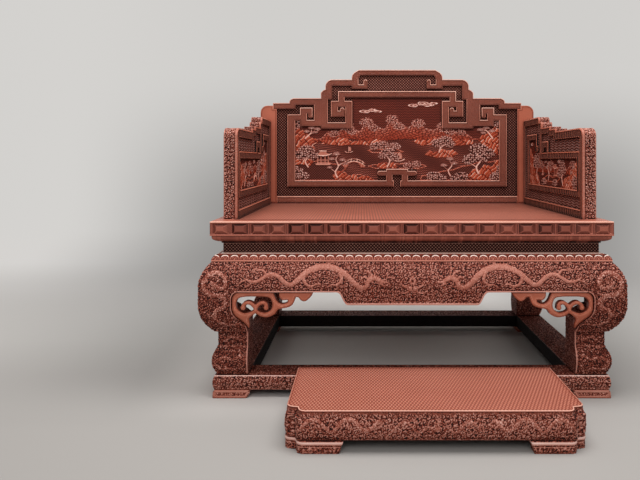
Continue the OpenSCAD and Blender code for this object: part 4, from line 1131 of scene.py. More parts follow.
def carved_board(name, box, step, keep, relief, place, material, bottom=0.0):
    """A board carved over its face. It covers box = (s0, t0, s1, t1) where keep(s, t) is true at
    any corner of a cell; relief gives height, tone and warm, and place(s, t, height) its points."""
    s0, t0, s1, t1 = box
    bm = bmesh.new()
    bmesh.ops.create_grid(bm, x_segments=int((s1 - s0) / step), y_segments=int((t1 - t0) / step), size=1)
    at = np.array([v.co[:2] for v in bm.verts])
    s, t = s0 + (at[:, 0] + 1) / 2 * (s1 - s0), t0 + (at[:, 1] + 1) / 2 * (t1 - t0)
    kept = keep(s, t)
    bm.verts.index_update()
    waste = [f for f in bm.faces if not any(kept[v.index] for v in f.verts)]
    height, tone, warm = relief(s, t)
    tone_layer, warm_layer = (bm.verts.layers.float.new(kind) for kind in ("tone", "warm"))
    for vertex, co, a, b in zip(bm.verts, place(s, t, height), tone, warm):
        vertex.co, vertex[tone_layer], vertex[warm_layer] = co, a, b
    feet = dict(zip(bm.verts, place(s, t, np.full(s.shape, bottom))))
    bmesh.ops.delete(bm, geom=waste, context="FACES")
    rim = [e for e in bm.edges if e.is_boundary]
    made = bmesh.ops.extrude_edge_only(bm, edges=rim)["geom"]
    walls = {v for v in made if isinstance(v, bmesh.types.BMVert)}
    for vertex in walls:
        top = next(e.other_vert(vertex) for e in vertex.link_edges if e.other_vert(vertex) not in walls)
        vertex.co = feet[top]
        vertex[tone_layer] = 0.1
    bmesh.ops.holes_fill(bm, edges=[e for e in bm.edges if e.is_boundary], sides=0)
    bmesh.ops.recalc_face_normals(bm, faces=bm.faces)
    mesh = bpy.data.meshes.new(name)
    bm.to_mesh(mesh)
    bm.free()
    return finished(name, mesh, material)


def hill(s, t, line, foot):
    """Folded hills under a skyline, down to a foot line."""
    top = np.interp(s, *np.array(line, float).T)
    low = np.interp(s, *np.array(foot, float).T)
    down = top - t
    fold, fine = wave(s + 0.55 * down, 17), wave(s - 0.9 * down, 8.5)
    share = np.clip(down / np.maximum(top - low, 1), 0, 1)
    near, second = cells(0.7 * s + 0.4 * t, t - 0.3 * s, 10, 19)[:2]
    crease = ease(second - near, 0.2, 2.4)
    body = crease * (0.2 + 0.4 * fold * (1 - share) + 0.35 * fine) + 0.3 * bump(down, 0, 3.4)
    return (down > 0) & (t > low), 0.8 + 1.6 * body, 0.12 + 0.72 * body, 0.35 + 0.6 * share


def crag(s, t, outline, lift, warm, seed):
    """Rocks in leaning layers, each cut off short, with hatched sides, pale upper edges that are painted
    highlights, and dark creases that are painted shade.
    """
    way = 0.66 * s + 0.75 * t
    over = 0.66 * t - 0.75 * s + 2.6 * np.sin(way / 12 + seed) + 1.3 * np.sin(way / 4.6 + 2 * seed)
    layer = np.floor(over / ROCK_LAYER)
    share = over / ROCK_LAYER - layer
    piece = way / ROCK_LONG + lottery(layer, 1.0, seed)
    luck = lottery(layer, np.floor(piece), seed + 1)
    ends = np.minimum(piece % 1, 1 - piece % 1) * ROCK_LONG
    crease = ease(share, 0.02, 0.2) * ease(ends, 0.2, 2.2)
    upper = ease(share, 0.62, 0.92)
    hatch = wave(way - 0.5 * over, 4.4)
    body = crease * (0.2 + 0.28 * luck + 0.42 * upper + 0.2 * hatch * (1 - upper))
    height = lift * (0.35 + 0.85 * body)
    return within(s, t, outline), height, 0.08 + 0.9 * body, warm * (1 - 0.5 * upper * luck)


def bank(s, t, outline, lift=1.4):
    """Flat ground at the water's edge, cut with a diaper, with a bright rim."""
    rim = bump(off_line(s, t, outline + outline[:1]), 0, 3)
    net = dotted(s, t, 10)
    height = lift * (0.7 + 0.3 * net + 0.8 * rim)
    return within(s, t, outline), height, 0.14 + 0.4 * net + 0.46 * rim, 0.1 + 0.8 * rim


def foliage(s, t, heads, lift, pitch, warm, seed):
    """Heads of leaves: rounded clumps of small notched leaves, pale at their tips, partly dust and wear and
    partly painted highlight.
    """
    inside = np.full(s.shape, -1.0)
    for at_s, at_t, wide, high in heads:
        inside = np.maximum(inside, 1 - np.hypot((s - at_s) / wide, (t - at_t) / high) / 1.55)
    near, second, off_s, off_t, key = cells(s, t, pitch, seed)
    leaf = np.clip(1 - (near / (pitch * 0.62)) ** 2, 0, 1) * ease(second - near, 0.2, 1.6)
    vein = 0.5 + 0.5 * np.cos(5 * np.arctan2(off_t, off_s) + key)
    body = leaf * (0.6 + 0.4 * vein)
    height = lift * (0.35 + 0.35 * np.clip(inside, 0, 1) + 0.45 * body)
    return inside + 0.25 * (leaf - 0.5) > 0.06, height, 0.12 + 0.84 * body, warm * (1 - body)


def pine(s, t, heads, lift=4.2):
    """Fans of pine needles, flat below and round above."""
    fan = np.full(s.shape, -1.0)
    needles = np.zeros(s.shape)
    for at_s, at_t, reach in heads:
        ds, dt = s - at_s, t - at_t
        inside = 1 - np.hypot(ds / reach, dt / (reach * 0.72)) - np.where(dt < 0, 4 * -dt / reach, 0)
        lines = 0.5 + 0.5 * np.cos(15 * np.arctan2(dt + 0.2 * reach, ds))
        better = inside > fan
        needles = np.where(better, lines * (0.5 + 0.5 * np.clip(inside * 2, 0, 1)), needles)
        fan = np.maximum(fan, inside)
    return fan > 0.02, lift * (0.55 + 0.45 * needles), 0.3 + 0.62 * needles, np.full(s.shape, 0.1)


def wood(s, t, lines, lift=3.8):
    """Trunks, boughs, rails and posts: rounded bodies with cuts across them."""
    inside, along = raised_lines(s, t, lines)
    bark = wave(along, 5.5)
    body = dome(1 - np.clip(inside, 0, 1))
    height = lift * (0.55 + 0.45 * body - 0.1 * bark)
    return inside > 0, height, 0.4 + 0.5 * body - 0.12 * bark, np.full(s.shape, 0.35)


def cloud_bank(s, t, curls, lift=2.6):
    """A long bank of cloud: coils that trail away to one side."""
    best = np.full(s.shape, -1.0)
    coil = np.zeros(s.shape)
    for at_s, at_t, reach, tail in curls:
        ds, dt = s - at_s, t - at_t
        stretched = np.where(ds * tail > 0, ds / (1 + abs(tail)), ds)
        inside = 1 - np.hypot(stretched / reach, dt / (reach * 0.62))
        coil = np.where(inside > best, wave((1 - inside) * reach, 6.4, np.arctan2(dt, stretched)), coil)
        best = np.maximum(best, inside)
    body = np.maximum(coil * 0.9, bump(best, 0.12, 0.1))
    return best > 0.02, lift * (0.5 + 0.5 * body), 0.34 + 0.6 * body, np.full(s.shape, 0.15)


def waves(s, t, box):
    """Open water: long ripples that break into small crests."""
    crest = wave(t + 2.6 * np.sin(s / 15) + 1.2 * np.sin(s / 6.1 + t / 9), 7.5) ** 2
    fade = 0.6 + 0.4 * np.sin(s / 37 + t / 23)
    net = dotted(s, t, 8.6)
    height, tone = 0.5 + 0.6 * crest * fade + 0.5 * net, 0.12 + 0.3 * crest * fade + 0.36 * net
    return within(s, t, box), height, tone, np.full(s.shape, 0.2)


def pavilion(s, t, at_s, at_t, size, lift=4.6):
    """A small open pavilion on a stone base, its eaves swept up at the ends."""
    ds, dt = (s - at_s) / size, (t - at_t) / size
    reach = 26 - 14 * ease(dt, 30, 44) + 4 * bump(dt, 30, 2.2)
    roof = (dt > 29 + 0.006 * ds ** 2 * np.sign(dt)) & (dt < 46) & (np.abs(ds) < reach)
    tiles = wave(ds, 4.4)
    ridge = (np.abs(dt - 46.5) < 1.8) & (np.abs(ds) < 13)
    eave = (np.abs(dt - 29.5 - 0.008 * ds ** 2) < 1.7) & (np.abs(ds) < 31)
    posts = (np.abs(np.abs(ds) - 19) < 1.7) | (np.abs(np.abs(ds) - 7) < 1.4)
    wall = (np.abs(ds) < 21) & (dt > 3) & (dt < 30)
    lattice = (np.abs(np.abs(dt - 10) - 4) < 1.1) | (posts & wall)
    base = (np.abs(ds) < 26) & (dt > -3) & (dt <= 3)
    parts = [ridge, eave, roof, base, lattice]
    body = np.select(parts, [1.0, 0.95, 0.45 + 0.35 * tiles, 0.75, 0.7], 0.12)
    high = np.select(parts, [1.1, 1.05, 0.85 + 0.12 * tiles, 0.75, 0.6], 0.3)
    return roof | ridge | eave | wall | base, lift * high, 0.1 + 0.8 * body, np.full(s.shape, 0.45)


def bridge(s, t, from_s, to_s, at_t, rise, lift=4.0):
    """A stone footbridge on one arch, with a rail on posts."""
    share = np.clip((s - from_s) / (to_s - from_s), 0, 1)
    over = t - at_t - rise * 4 * share * (1 - share)
    span = (s > from_s) & (s < to_s)
    middle, half = (from_s + to_s) / 2, (to_s - from_s) * 0.27
    arch = np.hypot((s - middle) / half, (t - at_t + 4) / (rise * 0.95))
    stone = span & (over < 0) & (t > at_t - 6) & (arch > 1)
    posts = (over > 0) & (over < 12) & (np.abs((s / 12) % 1 - 0.5) < 0.1)
    rail = span & ((np.abs(over - 9) < 1.6) | posts)
    lip = span & (np.abs(over) < 1.8)
    body = np.select([lip, rail, stone], [0.95, 0.85, 0.35 + 0.3 * wave(s, 9)], 0.0)
    return lip | rail | stone, lift * (0.5 + 0.5 * body), 0.25 + 0.65 * body, np.full(s.shape, 0.5)


def boat(s, t, at_s, at_t, size, lift=3.4):
    """A small empty boat with one ribbed sail."""
    ds, dt = (s - at_s) / size, (t - at_t) / size
    hull = (dt > 0.012 * ds ** 2 - 4) & (dt < 0.016 * ds ** 2) & (np.abs(ds) < 24)
    mast = (np.abs(ds) < 0.9) & (dt > 0) & (dt < 34)
    sail = (dt > 6) & (dt < 31) & (ds > 1) & (ds < 15 - 0.25 * np.abs(dt - 16))
    body = np.select([hull, mast, sail], [0.85, 0.9, 0.35 + 0.5 * wave(dt, 4.6)], 0.0)
    return hull | mast | sail, lift * (0.6 + 0.4 * body), 0.25 + 0.65 * body, np.full(s.shape, 0.4)


def picture(s, t, motifs, sky_low):
    """Height, tone and warmth of a whole picture, its motifs carved from the farthest to the
    nearest over lined sky and netted ground."""
    line = wave(t + 0.9 * np.sin(s / 4.2), 6.6) ** 2
    net = dotted(s, t, 9)
    in_sky = t > sky_low
    height = np.where(in_sky, 0.4 + 0.5 * line + 0.3 * net, 0.5 + 0.9 * net)
    tone = np.where(in_sky, 0.26 * line + 0.4 * net - 0.06, 0.02 + 0.56 * net)
    warm = np.where(in_sky, 0.5, 0.2)
    for make, *values in motifs:
        inside, up, shade, glow = make(s, t, *values)
        # Inside the motifs the tone is stretched: raised parts paler and sunk parts darker, partly dust and
        # wear and partly painted highlight and shade.
        height, tone = np.where(inside, up, height), np.where(inside, 0.43 + 1.32 * (shade - 0.45), tone)
        warm = np.where(inside, glow, warm)
    return height, tone, warm


def on_back(s, t, y):
    """Places, in metres, of points in mm across and up the back, at y from front to back."""
    return np.stack([s, y, t + SEAT_TOP], 1) / 1000


BACK_GROUND = 552.25
BACK_PICTURE = [
    (cloud_bank, [(96, 404, 13, 1.6), (118, 398, 11, 2.2), (74, 396, 11, -1.8), (140, 404, 8, 2.4)]),
    (cloud_bank, [(-120, 372, 11, -2.2), (-104, 377, 10, 1.2), (-84, 371, 8, 2.0)]),
    (hill, [(-309, 262), (-280, 292), (-248, 275), (-212, 326), (-184, 300), (-150, 292), (-120, 340),
            (-92, 312), (-52, 300), (-16, 352), (14, 318), (46, 306), (84, 334), (112, 304), (150, 296),
            (188, 322), (220, 286), (262, 296), (309, 262)],
     [(-309, 250), (-200, 262), (-90, 250), (40, 262), (160, 252), (309, 258)]),
    (waves, [(-443, 92), (443, 92), (443, 236), (300, 252), (160, 248), (40, 258), (-90, 246), (-200, 256),
             (-300, 244), (-443, 240)]),
    (foliage, [(-206, 312, 20, 13), (-184, 292, 15, 10), (-124, 328, 18, 12), (-98, 306, 14, 10),
               (-20, 338, 17, 13), (8, 312, 16, 10), (86, 322, 18, 12), (188, 308, 18, 13),
               (212, 290, 14, 10), (258, 286, 14, 9), (-256, 282, 14, 9)], 3.0, 7.0, 0.5, 2.0),
    (crag, [(-309, 250), (-284, 258), (-262, 252), (-236, 266), (-204, 262), (-180, 248), (-150, 256),
            (-122, 250), (-92, 262), (-60, 252), (-40, 240), (-80, 232), (-150, 238), (-230, 234),
            (-309, 240)], 2.2, 0.9, 8.0),
    (crag, [(60, 250), (92, 262), (120, 254), (152, 268), (190, 258), (224, 266), (258, 254), (309, 262),
            (309, 240), (240, 232), (160, 238), (100, 234)], 2.2, 0.9, 9.0),
    (crag, [(-443, 340), (-430, 336), (-404, 322), (-392, 300), (-372, 292), (-352, 268), (-330, 262),
            (-318, 246), (-340, 236), (-330, 216), (-352, 206), (-372, 212), (-388, 198), (-443, 190)], 3.2,
     0.9, 4.0),
    (crag, [(443, 340), (424, 334), (410, 312), (388, 306), (370, 284), (344, 276), (330, 254), (346, 240),
            (338, 222), (362, 210), (384, 216), (404, 196), (443, 188)], 3.2, 0.95, 5.0),
    (wood, [[(-372, 262, 4), (-350, 282, 3.4), (-334, 286, 2.6), (-316, 296, 1.6)],
            [(-350, 282, 2.4), (-346, 300, 1.4)],
            [(388, 262, 4), (366, 290, 3.2), (352, 296, 2.4), (334, 292, 1.4)]]),
    (pine, [(-346, 302, 17), (-322, 298, 16), (-366, 288, 14), (-334, 284, 14), (362, 302, 17),
            (338, 294, 16), (384, 290, 15), (350, 282, 13)]),
    (foliage, [(-412, 322, 22, 13), (-428, 300, 16, 12), (418, 318, 20, 12), (432, 296, 14, 12)], 4.4, 8.5,
     0.1, 7.0),
    (boat, 6, 172, 1.0),
    (boat, -196, 206, 0.7),
    (bank, [(-120, 214), (-96, 222), (-60, 218), (-30, 226), (4, 218), (28, 208), (0, 202), (-50, 204),
            (-100, 204)]),
    (foliage, [(-84, 232, 18, 11), (-58, 238, 15, 11), (-10, 230, 16, 10)], 3.4, 7.5, 0.25, 3.0),
    (crag, [(112, 196), (132, 214), (156, 208), (178, 222), (204, 212), (228, 218), (248, 200), (226, 188),
            (160, 184)], 2.8, 0.85, 11.0),
    (wood, [[(170, 206, 3.6), (178, 226, 3), (196, 238, 2.2), (200, 250, 1.2)],
            [(178, 226, 2.2), (162, 240, 1.2)]]),
    (foliage, [(166, 244, 18, 12), (196, 254, 20, 13), (214, 240, 14, 10)], 4.2, 8.0, 0.1, 5.0),
    (bridge, -222, -128, 150, 20),
    (bank, [(-443, 92), (-443, 186), (-410, 178), (-380, 184), (-340, 170), (-300, 176), (-262, 160),
            (-222, 158), (-206, 140), (-232, 120), (-190, 112), (-150, 118), (-118, 104), (-120, 92)]),
    (crag, [(-443, 186), (-410, 196), (-384, 182), (-362, 190), (-338, 168), (-352, 152), (-390, 158),
            (-443, 150)], 3.4, 0.9, 6.0),
    (crag, [(-250, 92), (-262, 112), (-240, 132), (-214, 128), (-196, 112), (-168, 118), (-150, 92)], 3.0,
     0.9, 12.0),
    (pavilion, -300, 158, 1.15),
    (wood, [[(-242, 104, 4.4), (-250, 126, 3.8), (-238, 150, 3.2), (-248, 176, 2.4), (-240, 192, 1.4)],
            [(-238, 150, 2.6), (-222, 162, 1.8), (-212, 160, 1.0)],
            [(-250, 126, 2.4), (-266, 138, 1.4)],
            [(-360, 146, 4), (-372, 168, 3.2), (-362, 188, 2.4), (-372, 206, 1.4)]]),
    (pine, [(-246, 196, 18), (-222, 172, 15), (-266, 176, 15), (-208, 158, 12), (-274, 142, 12)]),
    (foliage, [(-366, 214, 24, 14), (-390, 196, 20, 13), (-346, 194, 18, 12), (-412, 128, 22, 14),
               (-386, 112, 20, 12)], 4.6, 9.0, 0.05, 9.0),
    (bank, [(443, 92), (443, 182), (412, 176), (378, 168), (340, 172), (300, 156), (262, 150), (226, 136),
            (180, 130), (140, 116), (100, 112), (92, 92)]),
    (bank, [(-120, 150), (-92, 158), (-60, 154), (-30, 164), (10, 160), (44, 164), (80, 154), (104, 158),
            (122, 148), (90, 140), (-90, 140)]),
    (crag, [(-84, 140), (-78, 160), (-52, 168), (-30, 160), (-14, 166), (8, 140)], 2.8, 0.9, 13.0),
    (wood, [[(-40, 146, 3.6), (-30, 170, 3), (-40, 190, 2), (-34, 202, 1.2)],
            [(-30, 170, 2), (-14, 182, 1.2)]]),
    (foliage, [(-36, 206, 19, 11), (-12, 188, 16, 10), (-56, 192, 14, 9)], 4.2, 8.0, 0.1, 10.0),
    (foliage, [(54, 152, 20, 10), (78, 158, 14, 9)], 3.6, 7.5, 0.3, 11.0),
    (crag, [(300, 92), (286, 112), (310, 140), (336, 134), (352, 156), (384, 150), (400, 172), (443, 178),
            (443, 120), (410, 92)], 3.6, 0.95, 14.0),
    (wood, [[(330, 120, 5), (322, 146, 4.2), (338, 172, 3.4), (326, 198, 2.6), (334, 216, 1.4)],
            [(338, 172, 2.8), (356, 186, 2), (366, 198, 1.2)],
            [(322, 146, 2.8), (300, 160, 2), (290, 174, 1.2)],
            [(216, 110, 3.6), (208, 132, 3), (222, 152, 2.4), (214, 170, 1.4)],
            [(208, 132, 2), (192, 146, 1.2)]]),
    (foliage, [(332, 220, 26, 14), (366, 204, 20, 13), (300, 182, 20, 12), (288, 172, 15, 10),
               (350, 182, 16, 10)], 4.8, 9.0, 0.05, 12.0),
    (pine, [(214, 176, 17), (190, 150, 15), (232, 158, 15)]),
    (foliage, [(150, 108, 22, 12), (180, 100, 16, 10), (262, 106, 20, 13), (240, 98, 16, 9),
               (424, 126, 18, 20), (400, 106, 18, 14)], 4.2, 8.5, 0.1, 13.0),
    (crag, [(-170, 92), (-150, 108), (-120, 112), (-96, 100), (-92, 92)], 2.6, 0.9, 15.0)
]
BOARD_OUTLINE = mirrored([
    (0, 139.5), (80.5, 139.5), (80.5, 92.5), (412, 92.5), (412, 333.5), (393.1, 333.5), (393.1, 311.5),
    (309.1, 311.5), (309.1, 301.5), (181.1, 301.5), (181.1, 428), (0, 428)])
board = carved_board(
    "back_picture_piece", (-413, 92, 413, 429), 1.85, lambda s, t: within(s, t, BOARD_OUTLINE),
    lambda s, t: picture(s, t, BACK_PICTURE, 262), lambda s, t, h: on_back(s, t, BACK_GROUND - h),
    picture_lacquer)
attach(board, "throne")
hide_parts("back_scene")

# Diaper ground of the back: dark lacquer cut in low relief between the bands, in a close net on the
# slant with a dot in each lozenge. It reaches a little way under the bands.
DIAPER, BACK_BANDS = 11.0, 550.0
diaper_lacquer = lacquer("diaper_dark_lacquer", [
    (0.0, "1a0603"), (0.25, "3f160d"), (0.5, "743d30"), (0.75, "9e6656"), (1.0, "cc9686")],
    rough=0.45, crevice_shade=0.5, pattern=dotted_lines(DIAPER, False, -1.0), strength=0.32)


def diaper(s, t):
    """Relief of a ground cut with the net, paler in the top panel."""
    height = 0.2 + 1.7 * dotted(s + BACK_GROUND, t + SEAT_TOP, DIAPER)
    return height, np.where(t > 440, 0.5, 0.39), np.zeros(s.shape)


def open_ground(source, start, forward, outline_of):
    """A test for the points of a panel that no band covers: from inside the bands' depth it looks
    forward for the bands' face."""
    bm = bmesh.new()
    bm.from_mesh(node[source].data)
    bands = BVHTree.FromBMesh(bm)
    bm.free()

    def keep(s, t):
        spots = start(s, t)
        seen = outline_of(s, t)
        for i in np.flatnonzero(seen):
            seen[i] = bands.ray_cast(spots[i], forward, 0.02)[0] is None
        return seen

    return keep


def back_ground_area(s, t):
    """True inside the panel's stepped outline, off the picture board."""
    reach = np.select([t < 394, t < 413, t < 435, t < 488], [490, 424, 296, 278], 172)
    return (t > 28) & (np.abs(s) < reach) & (t < 527) & ~within(s, t, BOARD_OUTLINE)


ground = carved_board(
    "back_diaper_piece", (-500, 28, 500, 530), 2.0,
    open_ground("back_fret_frame", lambda s, t: on_back(s, t, np.full(s.shape, BACK_BANDS)), (0, -1, 0),
                back_ground_area),
    diaper, lambda s, t, h: on_back(s, t, BACK_GROUND - h), diaper_lacquer, -0.5)
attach(ground, "throne")

# Rear of the back: the panel's own face inside a plain border, carved with a large net of
# lozenges filled with cloud scrolls.
BACK_REAR = 587.25
LOZENGE, LOZENGE_LINE = 46, 0.09


def lozenges(s, t):
    """Height from 0 to 1 of a net of large lozenges with a boss in each."""
    a, b = (s + t) / LOZENGE % 1, (s - t) / LOZENGE % 1
    net = np.minimum(np.minimum(a, 1 - a), np.minimum(b, 1 - b))
    boss = np.hypot(a - 0.5, b - 0.5)
    return np.maximum(1 - ease(net, LOZENGE_LINE * 0.4, LOZENGE_LINE), 0.9 * (1 - ease(boss, 0.1, 0.24)))


def scrolled_net(s, t, outline):
    """The net filled with cloud scrolls inside a plain border, sunk out of sight past the outline."""
    body = np.maximum(lozenges(s, t), 0.8 * cloud_scrolls(s, t, 19, 8, 21))
    depth = off_line(s, t, outline + outline[:1])
    rim, border = bump(depth, 5, 2.2), depth < 9
    height = np.where(border, 1.8 * rim, 0.2 + 1.5 * body)
    tone = np.where(border, 0.2 + 0.5 * rim, 0.14 + 0.52 * body)
    return np.where(within(s, t, outline) & (depth > 1.5), height, -0.8), tone, np.zeros(s.shape)


REAR_OUTLINE = mirrored([
    (0, 24), (530, 24), (530, 372), (484, 372), (484, 384), (418, 384), (418, 403), (286, 403), (286, 430),
    (270, 430), (270, 479), (166, 479), (166, 517), (0, 517)])
rear = carved_board(
    "back_rear_carving", (-531, 23, 531, 518), 3.1, lambda s, t: within(s, t, REAR_OUTLINE),
    lambda s, t: scrolled_net(s, t, REAR_OUTLINE), lambda s, t, h: on_back(s, t, BACK_REAR - 1 + h),
    carved_lacquer, -1.2)
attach(rear, "throne")

# Arms: softwood panels with a stepped top, tenoned into the seat against the back. Their inner
# sides have bands, with broad upright cuts, and pictures on grounds cut in waves. A carved strip
# runs up the front end and over the steps.
ARM_FRONT, ARM_OUT, ARM_GROUND, ARM_BANDS, ARM_FACE = -177.75, 552.0, 519.0, 516.5, 512.0
STROKE = 19.0
round_over = np.radians(np.linspace(0, 90, 9))[1:-1]
ARM_OUTLINE = np.concatenate([
    [(0, 0), (0, 246)], np.stack([36 - 36 * np.cos(round_over), 246 + 24 * np.sin(round_over)], 1),
    [(36, 270), (280, 270), (280, 280), (348, 280), (348, 290), (458, 290), (458, 307), (464, 312),
     (492, 312), (492, 325), (504, 333), (723, 333)]])
STRIP_STEP, STRIP_WIDE, STRIP_POINTS = 2.2, ARM_OUT - ARM_FACE, 21
OUTER_BEAD, SEAM_BEAD, SEAM_GROOVE = 3, 7, 9.5
strip_path = np.concatenate([even_line(ARM_OUTLINE, STRIP_STEP)[0], ARM_OUTLINE[-1:]])
strip_way = np.gradient(strip_path, axis=0)
strip_way /= np.hypot(*strip_way.T)[:, None]
strip_out = np.stack([-strip_way[:, 1], strip_way[:, 0]], 1)
strip_across = np.r_[np.linspace(0, STRIP_WIDE, STRIP_POINTS), STRIP_WIDE, 0]


def strip_shape(hand):
    """Shape of one arm's strip: cloud scrolls between a thin outer bead and a broad one along the
    bands, over a flat underside."""
    def shape(across, round_):
        i = np.rint((across + 1) / 2 * (len(strip_path) - 1)).astype(int)
        j = np.rint((round_ + 1) / 2 * len(strip_across)).astype(int) % len(strip_across)
        wide, top = strip_across[j], j < STRIP_POINTS
        scrolls = cloud_scrolls(i * STRIP_STEP, wide, 11.0, 4.8, 17)
        inner = wide > STRIP_WIDE - SEAM_BEAD
        bead = inner | (wide < OUTER_BEAD)
        groove = (wide > STRIP_WIDE - SEAM_GROOVE) & ~inner
        edge = np.minimum(wide, STRIP_WIDE - wide)
        height = np.where(bead, 1.9 - 0.9 * (edge < 0.5), np.where(groove, 0.2, 0.1 + 1.8 * scrolls))
        # The groove beside the broad bead is toned dark, painted shade.
        tone = np.where(bead, 0.58, np.where(groove, 0.15, 0.92 * scrolls))
        height = np.where(top, height, -0.8)
        s, t = (strip_path[i] + strip_out[i] * height[:, None]).T
        places = np.stack([hand * (ARM_OUT - wide), s + ARM_FRONT, t + SEAT_TOP], 1) / 1000
        return places, np.where(top, tone, 0.1)

    return shape


def strokes(add, place):
    """Broad upright cuts along an arm's bands, each with a fine one between it and the next."""
    across = maths(add, "PINGPONG", xyz(add, place)[1], STROKE / 2000)
    broad = between(add, across, 0.0024, 0.0054, 1.0, -0.3)
    return maths(add, "MAXIMUM", broad, between(add, across, 0.0086, 0.0094, -0.3, 0.4))


arm_fret_lacquer = lacquer("arm_fret_band_lacquer", [
    (0.0, "160806"), (0.2, "42211a"), (0.45, "74463b"), (0.7, "a8604c"), (0.9, "d07458"), (1.0, "e89c84")],
    rough=0.36, mottle=0.2, grain=0.14, pattern=strokes, strength=0.5, fade=(0.62, 0.7))
ARM_BOARD = [
    (52.5, 83.5), (639.5, 83.5), (639.5, 250.5), (543.5, 250.5), (543.5, 205.5), (479.5, 205.5),
    (479.5, 179.5), (52.5, 179.5)]
ARM_BORDER = [
    (14, 14), (709, 14), (709, 319), (510, 319), (504, 300), (470, 298), (468, 276), (360, 276), (338, 268),
    (290, 266), (270, 256), (40, 256), (20, 246), (14, 232)]
LEFT_PICTURE = [
    (cloud_bank, [(330, 168, 9, 2.2), (346, 171, 8, 1.2), (560, 236, 10, 1.8), (578, 240, 8, 1.2)]),
    (hill, [(52, 140), (120, 152), (180, 142), (250, 164), (300, 146), (360, 158), (430, 148), (500, 176),
            (560, 214), (600, 196), (640, 206)], [(52, 126), (640, 130)]),
    (waves, [(52, 83), (640, 83), (640, 126), (420, 132), (300, 124), (52, 130)]),
    (foliage, [(132, 150, 18, 10), (252, 156, 20, 11), (300, 142, 16, 9), (420, 150, 18, 10),
               (500, 172, 20, 12), (560, 204, 22, 13)], 3.4, 7.5, 0.4, 31.0),
    (bank, [(170, 108), (210, 118), (262, 112), (300, 120), (344, 112), (380, 104), (300, 98), (220, 98)]),
    (bridge, 330, 404, 106, 14),
    (boat, 232, 122, 0.6),
    (crag, [(52, 180), (78, 176), (96, 160), (120, 156), (132, 138), (160, 128), (150, 108), (120, 102),
            (96, 83), (52, 83)], 3.2, 0.9, 32.0),
    (crag, [(640, 206), (612, 196), (600, 174), (574, 168), (560, 146), (528, 140), (512, 118), (470, 112),
            (440, 96), (400, 83), (640, 83)], 3.2, 0.95, 33.0),
    (wood, [[(150, 92, 4.4), (160, 116, 3.6), (150, 136, 2.8), (166, 158, 1.6)],
            [(160, 116, 2.4), (186, 128, 1.2)],
            [(448, 92, 4.2), (438, 116, 3.4), (452, 140, 2.6), (442, 160, 1.4)],
            [(438, 116, 2.2), (416, 128, 1.2)],
            [(560, 110, 4.2), (572, 138, 3.4), (560, 166, 2.6), (574, 192, 1.4)]]),
    (pine, [(168, 158, 17), (188, 132, 14), (140, 142, 14), (574, 194, 18), (592, 168, 15), (548, 170, 15)]),
    (foliage, [(444, 160, 22, 12), (414, 134, 18, 11), (466, 142, 16, 10), (230, 92, 22, 9),
               (520, 98, 24, 12), (612, 112, 22, 16), (300, 92, 18, 8)], 4.4, 8.5, 0.08, 34.0),
    (pavilion, 500, 134, 0.85)
]
RIGHT_PICTURE = [
    (cloud_bank, [(260, 170, 9, -2.2), (244, 172, 8, -1.2), (600, 236, 10, 1.8), (410, 168, 8, 1.6)]),
    (hill, [(52, 150), (110, 168), (170, 146), (220, 152), (290, 148), (350, 168), (410, 150), (470, 158),
            (520, 192), (580, 182), (640, 212)], [(52, 128), (640, 132)]),
    (waves, [(52, 83), (640, 83), (640, 130), (480, 124), (320, 132), (180, 124), (52, 128)]),
    (foliage, [(112, 160, 18, 10), (214, 148, 18, 10), (352, 160, 20, 11), (464, 156, 18, 10),
               (520, 188, 18, 11)], 3.4, 7.5, 0.4, 41.0),
    (bank, [(240, 112), (280, 122), (330, 116), (380, 124), (430, 114), (470, 106), (380, 98), (290, 98)]),
    (crag, [(52, 172), (84, 166), (104, 146), (136, 142), (150, 122), (190, 116), (214, 100), (230, 83),
            (52, 83)], 3.2, 0.95, 42.0),
    (crag, [(640, 224), (620, 214), (596, 190), (600, 160), (572, 150), (556, 126), (520, 118), (500, 96),
            (490, 83), (640, 83)], 3.2, 0.9, 43.0),
    (wood, [[(210, 90, 4.2), (220, 114, 3.4), (208, 136, 2.6), (222, 158, 1.4)],
            [(220, 114, 2.4), (242, 126, 1.2)],
            [(380, 104, 4), (372, 126, 3.2), (386, 146, 2.4), (376, 160, 1.4)],
            [(372, 126, 2.2), (352, 134, 1.2)],
            [(524, 98, 4.4), (536, 128, 3.6), (522, 156, 2.8), (536, 180, 1.6)]]),
    (pine, [(376, 160, 17), (350, 138, 14), (398, 146, 14), (96, 150, 16), (122, 132, 14)]),
    (foliage, [(222, 158, 22, 12), (246, 130, 18, 10), (200, 140, 16, 10), (536, 182, 22, 13),
               (560, 160, 18, 11), (510, 158, 16, 10), (300, 96, 20, 9), (440, 94, 22, 10),
               (84, 104, 22, 14)], 4.4, 8.5, 0.08, 44.0),
    (pavilion, 292, 122, 0.8),
    (boat, 450, 122, 0.6)
]
RIPPLE, RIPPLE_WAY, RIPPLE_RISE = 8.6, 46.0, 2.2


def wavy_lines(add, place):
    """Cuts that run along an arm in waves, with pale ridges between them."""
    y, z = xyz(add, place)[1:]
    turn = maths(add, "SINE", maths(add, "MULTIPLY", y, 2000 * math.pi / RIPPLE_WAY))
    rows = maths(add, "PINGPONG", maths(add, "MULTIPLY_ADD", turn, RIPPLE_RISE / 1000, z), RIPPLE / 2000)
    return between(add, rows, 0.0004, 0.0036, 1.0, -0.8)


rippled_lacquer = lacquer("rippled_ground_lacquer", [
    (0.0, "1c0806"), (0.25, "431c15"), (0.5, "70433b"), (0.75, "9c6d62"), (1.0, "c99c90")],
    rough=0.45, crevice_shade=0.5, pattern=wavy_lines, strength=0.18)


